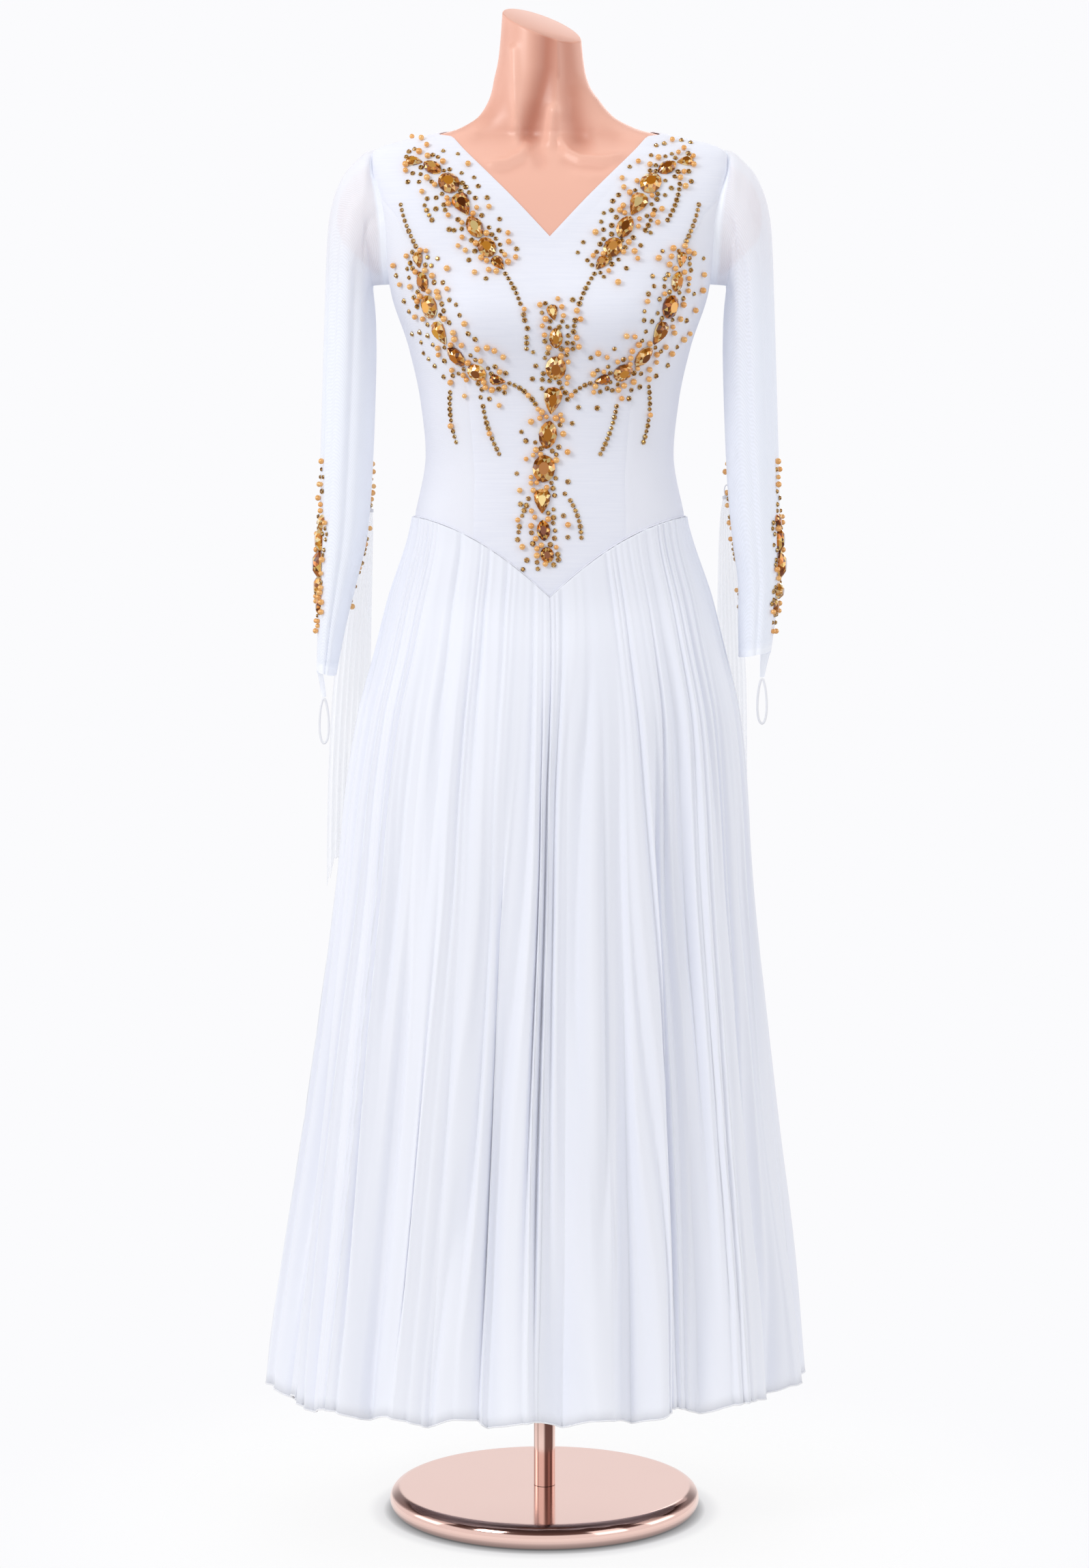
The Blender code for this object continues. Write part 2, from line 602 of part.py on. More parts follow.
def add_hand_tab(side):
    """The cuff runs on over its front and narrows to the end that holds the finger loop."""
    cuff = sleeve_rows(side)[-1]
    angles = [a for a in sleeve_angles() if TAB_FROM <= a <= TAB_TO]
    columns = len(angles)
    top = [np.array([sleeve_ring(side, cuff, a, inwards) for a in angles]) for inwards in (0.0, WALL)]
    for edge in top:
        edge[:, 2] -= SEAM_GAP
    end = top[1].mean(axis=0) - (side * TAB_SHIFT, 0, TAB_LENGTH)
    walls = []
    for layer, edge in enumerate(top):
        spread = np.linspace(-0.5, 0.5, columns)[:, None] * TAB_END_WIDTH
        tip = end + spread * np.array((side, 0, 0)) + np.array((0, WALL * (layer - 0.5), 0))
        rows = [edge * (1 - part) + tip * part for part in TAB_ROWS]
        walls.append(np.concatenate(rows))
    quads = grid_quads(len(TAB_ROWS), columns)
    add_wall("hand_tab_" + SIDE_NAME[side], walls[0], walls[1], quads, "sleeve_mesh")
    add_finger_loop("finger_loop_" + SIDE_NAME[side], end - (0, 0, SEAM_GAP))


def add_tube(name, path, radius, sides, finish):
    """A closed ring of round elastic along a path in a plane that faces -Y."""
    count = len(path)
    points = []
    for i, here in enumerate(path):
        ahead = path[(i + 1) % count] - path[i - 1]
        ahead = ahead / np.linalg.norm(ahead)
        across = np.array((-ahead[2], 0.0, ahead[0]))
        for k in range(sides):
            angle = 4 * QUARTER * k / sides
            out = across * math.cos(angle) + np.array((0, 1, 0)) * math.sin(angle)
            points.append(here + radius * out)
    add_mesh(name, points, torus_faces(count, sides), finish)


def torus_faces(rings, sides):
    """Faces over closed rings of points that run round and meet again."""
    faces = []
    for i in range(rings):
        j = (i + 1) % rings
        for k in range(sides):
            n = (k + 1) % sides
            faces.append((i * sides + k, i * sides + n, j * sides + n, j * sides + k))
    return faces


def capped_faces(rings, sides):
    """Faces over closed rings of points, with a flat face over the first ring and the last."""
    last = (rings - 1) * sides
    caps = [tuple(range(sides)), tuple(range(last, last + sides))]
    return caps + grid_quads(rings, sides, ring=True)


def add_finger_loop(name, top):
    radius = LOOP_THICK / 2
    path = []
    for k in range(LOOP_POINTS):
        angle = 4 * QUARTER * k / LOOP_POINTS
        drop = (1 - math.cos(angle)) / 2
        wide = (LOOP_WIDTH / 2 - radius) * math.sin(angle) * (LOOP_TAPER[0] + LOOP_TAPER[1] * drop)
        path.append(top + np.array((wide, 0.0, -radius - drop * (LOOP_LENGTH - 2 * radius))))
    add_tube(name, path, radius, LOOP_SIDES, "elastic")


def add_float(side):
    table = FLOAT_LEFT if side > 0 else FLOAT_RIGHT
    columns = 2 * FLOAT_PLEATS + 1
    rows = len(table["height"])
    front = np.zeros((rows, columns, 3))
    for i in range(rows):
        open_share = min(1.0, FLOAT_CLOSED + i / (rows - 1))
        for j in range(columns):
            across = j / (columns - 1)
            x = table["inner"][i] * (1 - across) + table["outer"][i] * across
            tail = FLOAT_TAIL * max(0.0, 1 - (1 - across) / FLOAT_TAIL_PART)
            tail += FLOAT_STEP["drop"] * (FLOAT_STEP["from"] < across < FLOAT_STEP["to"])
            height = table["height"][i] - (tail if i == rows - 1 else 0.0)
            fold = FLOAT_DEPTH * open_share * (1 if j % 2 else -1)
            front[i, j] = (x, table["back"][i] + fold - WALL / 2, height)
    placed = [wall * (side, 1, 1) + (CENTRE_X, 0, 0) for wall in (front, folded_inwards(front))]
    outer, inner = (wall.reshape(-1, 3) for wall in placed)
    add_wall("float_" + SIDE_NAME[side], outer, inner, grid_quads(rows, columns), "chiffon")


def fold_depth(turn, share):
    total = 0.0
    for angle, half, depth, start, full in FOLDS:
        away = (turn - math.radians(angle) + math.pi) % (2 * math.pi) - math.pi
        opened = min(max((share - start) / (full - start), 0.0), 1.0)
        total += depth * opened * math.exp(-((away / math.radians(half)) ** 2))
    return total


def skirt_point(turn, share, fold):
    """A point of the skirt: share runs from waist seam to hem, fold is -1 in a pleat and 1 on it."""
    seam = waist_seam(turn)
    drift = sum(size * math.sin(times * turn + start) for times, size, start in WAVE_DRIFT)
    wave = math.cos(WAVES * turn + drift)
    hem = HEM_FRONT + HEM_TILT * math.sin(turn) + WAVE_DROP * wave
    height = (seam - SEAM_GAP) * (1 - share) + hem * share
    pleat = PLEAT_TOP + (PLEAT_FULL - PLEAT_TOP) * min(share / PLEAT_OPEN, 1.0) ** PLEAT_CURVE
    billow = WAVE_OUT * share**WAVE_CURVE
    side = smooth_value("side", SKIRT, height)
    front = smooth_value("front", SKIRT, height)
    back = smooth_value("back", SKIRT, height)
    middle = smooth_value("middle", SKIRT, height)
    away = front if math.cos(turn) > 0 else back
    normal = np.array((math.sin(turn) / side, -math.cos(turn) / away))
    normal /= np.linalg.norm(normal)
    ellipse = np.array((middle + side * math.sin(turn), -away * math.cos(turn)))
    onto = body_skin(turn, height)[:2] + normal * SKIRT_OUT
    free = min(share / SKIRT_FREE, 1.0)
    free = free * (2 - free)
    plan = onto * (1 - free) + ellipse * free
    plan = plan + normal * (pleat * (fold - 1) + billow * (wave - 1) - fold_depth(turn, share))
    plan = outside_body(plan, turn, height, middle)
    return np.array((plan[0], plan[1], height))


def outside_body(plan, turn, height, middle):
    """Moves a point of the skirt out where it would reach into the form."""
    if height < FORM_BOTTOM - 0.02:
        return plan
    centre = np.array((middle, 0.0))
    body = body_skin(turn, max(height, FORM_BOTTOM))[:2] - centre
    arm = plan - centre
    reach = np.linalg.norm(arm)
    least = np.linalg.norm(body) + SKIRT_CLEAR
    return centre + arm * max(1.0, least / reach)


def folded_inwards(rows, ring=False):
    """The other face of a folded wall, as rows of level points: square to each flank of a fold."""
    before, after = np.roll(rows, 1, axis=1), np.roll(rows, -1, axis=1)
    if not ring:
        for beyond, end, beside in ((before, 0, 1), (after, -1, -2)):
            beyond[:, end] = rows[:, beside]
            beyond[:, end, 0] += 2 * (rows[:, end, 0] - rows[:, beside, 0])
    squares = []
    for flank in (rows - before, after - rows):
        square = np.stack([-flank[..., 1], flank[..., 0]], axis=-1)
        squares.append(square / np.linalg.norm(square, axis=-1, keepdims=True))
    alike = (squares[0] * squares[1]).sum(axis=-1, keepdims=True)
    step = (squares[0] + squares[1]) / np.maximum(1 + alike, 1e-6)
    length = np.linalg.norm(step, axis=-1, keepdims=True)
    step *= WALL * np.minimum(1.0, MITRE_MOST / length)
    moved = rows.copy()
    moved[..., :2] += step
    return moved


def add_skirt():
    columns = PLEATS // 4 * 2
    names = ("skirt_front_left", "skirt_back_left", "skirt_back_right", "skirt_front_right")
    grid = []
    for share in SKIRT_ROWS:
        turns = QUARTER * np.arange(4 * columns) / columns
        grid.append([skirt_point(turn, share, 1 if j % 2 else -1) for j, turn in enumerate(turns)])
    outer = np.array(grid)
    for quarter, name in enumerate(names):
        chosen = np.arange(quarter * columns, (quarter + 1) * columns + 1) % (4 * columns)
        walls = []
        for layer in (outer[:, chosen], folded_inwards(outer, True)[:, chosen]):
            pull_back(layer[:, 0], layer[:, 1])
            pull_back(layer[:, -1], layer[:, -2])
            walls.append(layer.reshape(-1, 3))
        quads = grid_quads(len(SKIRT_ROWS), columns + 1)
        add_wall(name, walls[0], walls[1], quads, "chiffon")


def bezier(points, u):
    a, b, c, d = (np.array(p) for p in points)
    return a * (1 - u) ** 3 + 3 * b * u * (1 - u) ** 2 + 3 * c * u * u * (1 - u) + d * u**3


def stones_along(length, count, end, middle):
    """(place, length) for each stone, closed up along a path."""
    sizes = [end + (middle - end) * math.sin(math.pi * (k + 0.5) / count) for k in range(count)]
    spare = (length - sum(sizes)) / count
    placed = []
    at = 0.0
    for size in sizes:
        placed.append((at + (size + spare) / 2, size))
        at += size + spare
    return placed


def add_sprig(name, centre_line, surface, count, end, middle):
    """A row of large stones on one backing: centre_line(u) gives a place in the surface's own plane."""
    steps = 60
    line = np.array([centre_line(k / steps) for k in range(steps + 1)])
    along = np.concatenate([[0], np.cumsum(np.linalg.norm(np.diff(line, axis=0), axis=1))])

    def place_at(distance):
        return np.array([np.interp(distance, along, line[:, k]) for k in (0, 1)])

    points = []
    slope_step = 0.002
    for at, size in stones_along(along[-1], count, end, middle):
        for shift, wide in STONE_STATIONS:
            here = np.clip(at + shift * size, 0, along[-1])
            tangent = place_at(here + slope_step) - place_at(here - slope_step)
            tangent /= np.linalg.norm(tangent)
            across = np.array((tangent[1], -tangent[0]))
            width = wide * size * STONE_WIDTH
            height = size * STONE_HEIGHT * (STONE_FLOOR + (1 - STONE_FLOOR) * wide)
            for sideways, up in STONE_PROFILE:
                spot = place_at(here) + across * sideways * width
                points.append(surface(spot, STONE_LIFT + up * height))
    sides = len(STONE_PROFILE)
    add_mesh(name, points, capped_faces(len(points) // sides, sides), "crystal")


def cloth_faces(names):
    """The faces of these pieces, to lay the stones on."""
    points, faces = [], []
    for name in names:
        mesh = bpy.data.objects[name].data
        first = len(points)
        points += [vertex.co.copy() for vertex in mesh.vertices]
        faces += [[first + k for k in face.vertices] for face in mesh.polygons]
    return BVHTree.FromPolygons(points, faces)


def laid_on(cloth, above, out):
    """The point this far off the cloth, under a point above it."""
    above = Vector(above)
    near = cloth.find_nearest(above)[0]
    return np.array(near + (above - near).normalized() * out)


def add_front_sprigs():
    cloth = cloth_faces(("bodice_front", "bodice_side_front_left", "bodice_side_front_right"))

    def surface(spot, out):
        return laid_on(cloth, on_body(turn_across(*spot), spot[1], ABOVE), out)

    for key, (curve, count, end, middle) in SPRIGS.items():
        for side in (1,) if key == "centre" else (1, -1):
            name = "crystals_" + key
            if key != "centre":
                name += "_" + SIDE_NAME[side]
            turned = [(side * x, z) for x, z in curve]
            add_sprig(name, lambda u, c=turned: bezier(c, u), surface, count, end, middle)


def add_arm_sprig(side):
    cloth = cloth_faces(("sleeve_" + SIDE_NAME[side],))
    rows = sleeve_rows(side)
    heights = [(row[1] + row[3]) / 2 for row in rows]
    round_at = 0.035  # turns one radian on the sleeve into this length

    def surface(spot, out):
        place = np.interp(-spot[1], [-h for h in heights], range(len(heights)))
        return laid_on(cloth, sleeve_skin(side, place, spot[0] / round_at, ABOVE), out)

    def centre_line(u):
        height = ARM_SPRIG["top"] * (1 - u) + ARM_SPRIG["bottom"] * u
        angle = ARM_SPRIG["turn"] + ARM_SPRIG_BOW * math.sin(math.pi * u)
        return np.array((round_at * angle, height))

    name = "crystals_arm_" + SIDE_NAME[side]
    add_sprig(name, centre_line, surface, ARM_SPRIG["count"], ARM_SPRIG["end"], ARM_SPRIG["middle"])


def form_heights():
    low = np.linspace(FORM_BOTTOM, 1.105, 8)
    chest = np.linspace(1.13, 1.29, 8)
    rest = (1.307, 1.320, 1.330, 1.338, 1.345, 1.350, 1.3554, 1.362, 1.3684, 1.3814, 1.398, 1.425)
    return np.concatenate([low, chest, rest, [NECK_TOP]])


def add_form():
    """The torso, its two cut shoulders and its slanting neck, in one smooth shell of plastic."""
    heights = form_heights()
    points = []
    for height in heights:
        bare = min(max((height - NECK_POINT) / (NECK_BEND_FROM - NECK_POINT), 0.0), 1.0)
        under = -(WALL + FORM_GAP) * (1 - bare * bare * (3 - 2 * bare))
        bend = max(0.0, (height - NECK_BEND_FROM) / (NECK_TOP - NECK_BEND_FROM))
        lean = NECK_LEAN * min(max((height - BACK_NECK) / (NECK_LEAN_TO - BACK_NECK), 0.0), 1.0)
        for k in range(FORM_TURNS):
            turn = 4 * QUARTER * k / FORM_TURNS
            point = body_skin(turn, height, FORM_BUST) + under * body_normal(turn, height)
            point[2] += bend * (NECK_SLANT * (point[0] - CENTRE_X) + NECK_TILT * point[1])
            point[0] += lean
            points.append(point)
    for point in points[:FORM_TURNS]:
        point[2] = FORM_BOTTOM
    faces = capped_faces(len(heights), FORM_TURNS)
    torso = add_mesh("form_torso", points, faces, "form_plastic")
    for side in (1, -1):
        join_stump(torso, side)


def join_stump(torso, side):
    """The upper arm, cut off on the slant."""
    mesh = bpy.data.meshes.new("stump")
    bm = bmesh.new()
    bmesh.ops.create_uvsphere(bm, u_segments=STUMP_AROUND, v_segments=STUMP_ALONG, radius=1.0)
    for vertex in bm.verts:
        x, z = vertex.co.z, -vertex.co.x
        vertex.co.x, vertex.co.z = x, z
        vertex.co = Vector(
            (
                CENTRE_X + side * (STUMP_CENTRE[0] + STUMP_SIZE[0] * vertex.co.x),
                STUMP_CENTRE[1] + STUMP_SIZE[1] * vertex.co.y,
                STUMP_CENTRE[2] + STUMP_SIZE[2] * vertex.co.z,
            )
        )
    cut = Vector((CENTRE_X + side * STUMP_CUT[0], STUMP_CUT[1], STUMP_CUT[2]))
    everything = bm.verts[:] + bm.edges[:] + bm.faces[:]
    facing = Vector((side, 0, -1)).normalized()
    found = bmesh.ops.bisect_plane(
        bm, geom=everything, plane_co=cut, plane_no=facing, clear_outer=True
    )
    rim = [item for item in found["geom_cut"] if isinstance(item, bmesh.types.BMEdge)]
    bmesh.ops.contextual_create(bm, geom=rim)
    bmesh.ops.recalc_face_normals(bm, faces=bm.faces)
    bm.to_mesh(mesh)
    bm.free()
    stump = bpy.data.objects.new("stump_" + SIDE_NAME[side], mesh)
    bpy.context.scene.collection.objects.link(stump)
    stump.hide_render = True
    stump.display_type = "WIRE"
    join = torso.modifiers.new(stump.name, "BOOLEAN")
    join.operation = "UNION"
    join.object = stump


def turned(profile, sides):
    """The points of (radius, height) pairs turned round the Z axis, one ring for each pair."""
    points = []
    for radius, height in profile:
        for k in range(sides):
            angle = 4 * QUARTER * k / sides
            points.append((radius * math.cos(angle), radius * math.sin(angle), height))
    return points


def add_stand():
    edge = BASE_THICK / 2
    rim = [
        (BASE_RADIUS - edge + edge * math.cos(a), edge + edge * math.sin(a))
        for a in np.linspace(-QUARTER, QUARTER, RIM_STEPS)
    ]
    add_mesh("base_plate", turned(rim, BASE_SIDES), capped_faces(len(rim), BASE_SIDES), "rose_gold")
    low = BASE_THICK + POLE_PLAY
    tube = [(POLE_RADIUS, low), (POLE_RADIUS, FORM_BOTTOM - POLE_PLAY)]
    add_mesh("form_pole", turned(tube, POLE_SIDES), capped_faces(2, POLE_SIDES), "rose_gold")


def build():
    clear_scene()
    add_stand()
    add_form()
    add_bodice()
    add_skirt()
    for side in (1, -1):
        add_sleeve(side)
        add_hand_tab(side)
        add_float(side)
        add_arm_sprig(side)
    add_front_sprigs()


build()
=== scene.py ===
"""Looks of a ballroom dance dress on a limbless dress form: its cloth, its crystals, the form and the stand.

Metres, +Z up, the dress faces -Y and the wearer's left is +X. Turns round the body are 0 at centre
front, a quarter circle at the wearer's left side and half a circle at centre back.
"""

import math

import bmesh
import bpy
import numpy as np
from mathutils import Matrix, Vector


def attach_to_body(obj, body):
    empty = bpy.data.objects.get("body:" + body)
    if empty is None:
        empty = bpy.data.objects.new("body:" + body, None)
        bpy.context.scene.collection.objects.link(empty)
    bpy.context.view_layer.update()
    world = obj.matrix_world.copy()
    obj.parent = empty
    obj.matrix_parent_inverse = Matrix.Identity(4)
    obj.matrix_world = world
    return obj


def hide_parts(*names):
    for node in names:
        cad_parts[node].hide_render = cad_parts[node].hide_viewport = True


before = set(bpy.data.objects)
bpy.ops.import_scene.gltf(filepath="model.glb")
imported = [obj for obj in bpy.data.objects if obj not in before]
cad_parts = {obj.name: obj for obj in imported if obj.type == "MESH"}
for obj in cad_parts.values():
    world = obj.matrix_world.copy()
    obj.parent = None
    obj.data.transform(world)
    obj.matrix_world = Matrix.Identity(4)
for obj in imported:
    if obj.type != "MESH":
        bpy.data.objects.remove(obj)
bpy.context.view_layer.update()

BODY_NAME = "root"
SIDE_NAME = {1: "left", -1: "right"}
QUARTER = math.pi / 2
FULL_TURN = 2 * math.pi
STEP = 1e-4
HALVINGS = 40  # steps in the search for a turn
NEAREST_STEPS = 8
NEAREST_LIMITS = (0.3, 0.02)  # the longest step of turn and of height in the search for a spot
PATH_POINTS = 121
CURVE_POINTS = 60
WELD = 2e-6  # points this close are one
SHELL = 0.0006  # how thick the cloth shows
CENTRE_X = 0.005  # the dress stands this far to the left of the pole

# The dress, in the sizes of the model
WAIST_SIDE = 0.984
BASQUE_TIP = 0.9085
BASQUE_CURVE = 1.8
V_BOTTOM = 1.2485
NECK_POINT = 1.354
BACK_NECK = 1.340
ARM_MIDDLE = 1.2728
ARM_HALF_HEIGHT = 0.0653
ARM_HALF_TURN = math.radians(32)
PRINCESS_TOP = 1.2905
WAIST_PRINCESS = (0.0725, 0.967)
BODY = {
    "height": (0.780, 0.860, 0.920, 0.984, 1.045, 1.094, 1.147, 1.199, 1.250, 1.290, 1.315,
               1.330, 1.338, 1.345, 1.350, 1.3554, 1.362, 1.3684, 1.3814, 1.3944, 1.4203, 1.480),
    "side": (0.156, 0.155, 0.1435, 0.1310, 0.1203, 0.1250, 0.1364, 0.1530, 0.1595, 0.1640, 0.1680,
             0.1675, 0.1610, 0.140, 0.116, 0.0920, 0.0760, 0.0655, 0.0545, 0.0480, 0.0412, 0.0360),
    "front": (0.094, 0.096, 0.094, 0.090, 0.086, 0.090, 0.095, 0.094, 0.084, 0.070, 0.055,
              0.044, 0.037, 0.034, 0.033, 0.034, 0.035, 0.036, 0.037, 0.037, 0.037, 0.036),
    "back": (0.100, 0.104, 0.100, 0.091, 0.078, 0.078, 0.084, 0.092, 0.098, 0.094, 0.080,
             0.064, 0.054, 0.048, 0.047, 0.047, 0.047, 0.048, 0.049, 0.049, 0.048, 0.046),
    "square": (0.05, 0.05, 0.05, 0.05, 0.05, 0.05, 0.07, 0.12, 0.18, 0.20, 0.20,
               0.20, 0.16, 0.10, 0.05, 0.02, 0.0, 0.0, 0.0, 0.0, 0.0, 0.0),
}
BACK_SQUARE = 0.5
BUST = {"height": 1.172, "apart": 0.066, "width": 0.046, "tall": 0.040, "full": 0.021}
BUST_BRIDGE = 0.35
BRIDGE_SOFT = 0.012  # the dip between the breasts is round over this width
PRINCESS = {
    "height": (1.02, 1.075, 1.115, 1.145, 1.170, 1.230, 1.272),
    "across": (0.0715, 0.0755, 0.0800, 0.0885, 0.0985, 0.1235, 0.1480),
}
NECK_EDGE = {
    "height": (V_BOTTOM, 1.283, 1.311, 1.334, 1.347),
    "across": (0.0, 0.0320, 0.0595, 0.0820, 0.0930),
}
# Points on each seam, and how much closer together they lie near its end
SEAM_POINTS = {
    "princess": (61, 1.0),
    "front_arc": (34, 1.2),
    "lower_arc": (30, 1.0),
    "side_seam": (61, 1.0),
    "back_arc": (48, 1.2),
    "shoulder": (21, 1.0),
    "centre": (61, 1.0),
    "neck_edge": (34, 1.2),
    "waist_front": (40, 1.0),
    "waist_side": (30, 1.0),
    "waist_back": (41, 1.0),
    "centre_back": (108, 1.1),
    "neck_back": (21, 1.0),
}
SEAM_DIP = 0.0006  # the cloth sinks this much at a seam
SEAM_SOFT = 0.0018
# The turned neck edge, its row of stitches and its rolled rim
FACING = {"width": 0.0105, "rise": 0.0004, "soft": 0.0008}
STITCH = {"inset": 0.002, "soft": 0.0007, "dip": 0.0003}
ROLL = {"soft": 0.0008, "dip": 0.0005}

# The skirt
SKIRT = {
    "height": (0.100, 0.124, 0.2616, 0.3844, 0.5065, 0.628, 0.7086, 0.7888, 0.8555, 0.9087, 0.9352,
               0.9617, 0.984),
    "side": (0.2735, 0.2710, 0.2550, 0.2385, 0.2227, 0.2070, 0.1993, 0.1882, 0.1713, 0.1575, 0.1491,
             0.1400, 0.1325),
    "front": (0.1815, 0.1800, 0.1700, 0.1600, 0.1500, 0.1410, 0.1340, 0.1250, 0.1120, 0.0985, 0.0965,
              0.0945, 0.0915),
    "back": (0.1820, 0.1805, 0.1720, 0.1640, 0.1570, 0.1500, 0.1450, 0.1390, 0.1290, 0.1160, 0.1090,
             0.1010, 0.0930),
    "middle": (-0.007, -0.007, -0.004, -0.002, 0.0, 0.002, 0.003, 0.005, 0.006, 0.006, 0.006,
               0.006, 0.005),
}
PLEATS = 60
PLEAT_STEPS = 20  # columns to a pleat
PLEAT_TOP, PLEAT_FULL = 0.0013, 0.0050
PLEAT_OPEN, PLEAT_BEND = 0.5, 0.8
PLEAT_SHAPE = {"Fineness": 2.0, "Fine share": 0.16, "Lean": 0.35, "Edge": 0.96}
FINE_START = 0.9  # where the finer pleat on a pleat starts, in radians
# How much painted shade darkens a pleat's trough
VALLEY_SHADE_SHARE = 0.8
GATHER = {"depth": 0.0010, "fades": 0.15}  # fine gathers at the waist seam
# Painted shade darkens the skirt's upper part
UPPER_SHADE = 0.75  # how much deeper in colour the skirt's upper part is
UPPER_PART = (0.10, 0.55)
# How deep pleats and gathers are round the skirt, as shares of their full depth
PLEAT_SIZE = {"usual": 0.62, "least": 0.12, "most": 1.2}
GATHER_SIZE = {"usual": 0.5, "least": 0.05, "most": 1.2}
# What grows on the way down: its share at the waist, where it starts to grow and where it is full
WARP_GROWS, PLEAT_GROWS, GATHER_GROWS = (0.75, 0.0, 0.25), (0.62, 0.03, 0.20), (0.5, 0.0, 0.035)
HEM_CALM = {"share": 0.5, "part": (0.72, 1.0)}  # pleats are shallower again near the hem
# Painted shade in the skirt's large folds deepens with their depth
FULL_HOLLOW = 0.016  # a fold this deep is at its darkest
# Waves round the skirt: size, times round, how far they shift on the way down and where they start
HEM_DRIFT = ((0.9, 3, 0, 0.0), (1.3, 2, 0, 0.7))
FOLD_WANDER = ((0.020, 6, 4.2, 0.0), (0.010, 17, -6.0, 0.0))
PLEAT_WARP = ((0.9, 7, 0, 1.1), (0.5, 13, 0, 0.0), (0.22, 29, 0, 0.5))
PLEAT_WANDER = ((0.8, 5, 3.1, 0.0), (0.3, 19, -4.0, 0.0))
PLEAT_VARY = ((0.30, 9, 4.0, 0.0), (0.26, 23, -3.0, -2.3), (0.20, 41, 5.0, 0.0))
GATHER_VARY = ((0.4, 17, 6.0, 0.0), (0.4, 37, -9.0, 0.0))
SKIRT_ROWS = 92
SKIRT_ROWS_PULL = 1.35  # rows lie closer together near the waist
SKIRT_OUT, SKIRT_FREE, SKIRT_CLEAR = 0.0026, 0.10, 0.0005
BELOW_FORM = 0.02  # the form pushes the skirt out down to here
HEM_FRONT, HEM_TILT = 0.1265, 0.005
WAVES = 20
WAVE_DROP, WAVE_OUT, WAVE_CURVE = 0.0055, 0.0105, 1.0
WAVE_SHARP = 1.1
# Large folds: where in degrees, half width in degrees, depth at the hem, where they start and are
# full as a share of the length, and which side of the trough has the crisp edge
FOLDS = (
    (0.5, 4.6, 0.0062, 0.06, 0.34, -1),
    (-13.0, 3.6, 0.0120, 0.22, 0.45, 1),
    (20.0, 3.4, 0.0066, 0.10, 0.40, 1),
    (33.0, 6.4, 0.0210, 0.12, 0.50, -1),
    (-34.0, 5.0, 0.0110, 0.35, 0.75, 1),
    (62.0, 6.0, 0.0120, 0.40, 0.85, -1),
    (-70.0, 7.0, 0.0140, 0.30, 0.80, 1),
    (112.0, 6.5, 0.0130, 0.30, 0.75, -1),
    (-118.0, 6.0, 0.0120, 0.40, 0.80, 1),
    (149.0, 5.0, 0.0150, 0.22, 0.60, -1),
    (-151.0, 6.0, 0.0130, 0.28, 0.70, 1),
    (181.0, 4.0, 0.0120, 0.18, 0.50, 0),
)
CRISP, GENTLE = 0.62, 1.45  # half widths of a trough's two sides
OVERHANG = {"place": 0.95, "size": 0.55, "soft": 0.5}  # how a crisp edge leans over its trough
# Smaller folds between them, set out by chance, in the same measures
SMALL_FOLDS = {
    "count": 40, "jitter": 0.42, "half": (1.6, 3.6), "depth": (0.0018, 0.0056), "start": (0.02, 0.50),
    "run": (0.20, 0.50),
}
HEM_ROLL = 0.0009
PIPING, PIPING_LIFT = 0.0008, 0.0004

# A sleeve: outer and inner edge seen from the front, and half its depth
SLEEVE = (
    (0.1765, 1.3345, 0.1705, 1.2065, 0.0545),
    (0.1870, 1.3255, 0.1710, 1.2040, 0.0565),
    (0.1965, 1.3155, 0.1710, 1.2010, 0.0575),
    (0.2045, 1.3010, 0.1705, 1.1975, 0.0575),
    (0.2100, 1.2850, 0.1700, 1.1930, 0.0570),
    (0.2138, 1.2642, 0.1693, 1.1870, 0.0560),
    (0.2158, 1.2350, 0.1686, 1.1770, 0.0550),
    (0.2172, 1.2000, 0.1681, 1.1640, 0.0540),
    (0.2190, 1.1500, 0.1680, 1.1350, 0.0520),
    (0.2212, 1.0850, 0.1697, 1.0800, 0.0500),
    (0.2235, 1.0150, 0.1730, 1.0130, 0.0480),
    (0.2245, 0.9617, 0.1780, 0.9617, 0.0455),
)
CUFF = {
    1: (
        (0.2240, 0.9200, 0.1835, 0.9200, 0.0410),
        (0.2205, 0.8850, 0.1838, 0.8830, 0.0370),
        (0.2162, 0.8530, 0.1845, 0.8470, 0.0340),
    ),
    -1: (
        (0.2252, 0.9200, 0.1880, 0.9200, 0.0415),
        (0.2264, 0.8780, 0.1990, 0.8760, 0.0385),
        (0.2274, 0.8340, 0.2085, 0.8290, 0.0360),
    ),
}
SLEEVE_BACK = 0.005
SLEEVE_UNDER = 0.0007  # its top edge lies this far under the bodice's
SLEEVE_THICK = 0.0004
# The doubled cloth at a sleeve's top, at its cuff and along its seam under the arm
TOP_FACING, CUFF_FACING = (0.006, 0.0085), (0.0095, 0.008)
UNDERARM_SEAM = {"arm": 0.035, "half": 0.0022, "cover": 0.6}
SLEEVE_TURNS = 120
SLEEVE_STEPS = 9  # rows between two sections
# Creases: angle at the top and at the bottom in degrees, half width in degrees, depth, and the
# sections between which it runs
SLEEVE_CREASES = (
    (-62, -48, 9, 0.0030, 1, 13),
    (-118, -92, 11, 0.0036, 2, 15),
    (-20, -30, 7, 0.0018, 5, 15),
    (38, 52, 9, 0.0032, 2, 14),
    (96, 80, 10, 0.0034, 3, 15),
    (150, 128, 9, 0.0028, 1, 12),
    (-160, -135, 8, 0.0026, 2, 9),
    (-88, -128, 5, 0.0020, 0, 4),
    (84, 122, 5, 0.0020, 0, 4),
    (12, 6, 6, 0.0014, 6, 15),
)
TAB_FROM, TAB_TO = -1.36, 0.02
TAB_SHIFT, TAB_LENGTH, TAB_END_WIDTH = 0.004, 0.024, 0.0045
TAB_INSET, TAB_THICK, TAB_ROWS, TAB_COVER = 0.0012, 0.0009, 14, 0.55
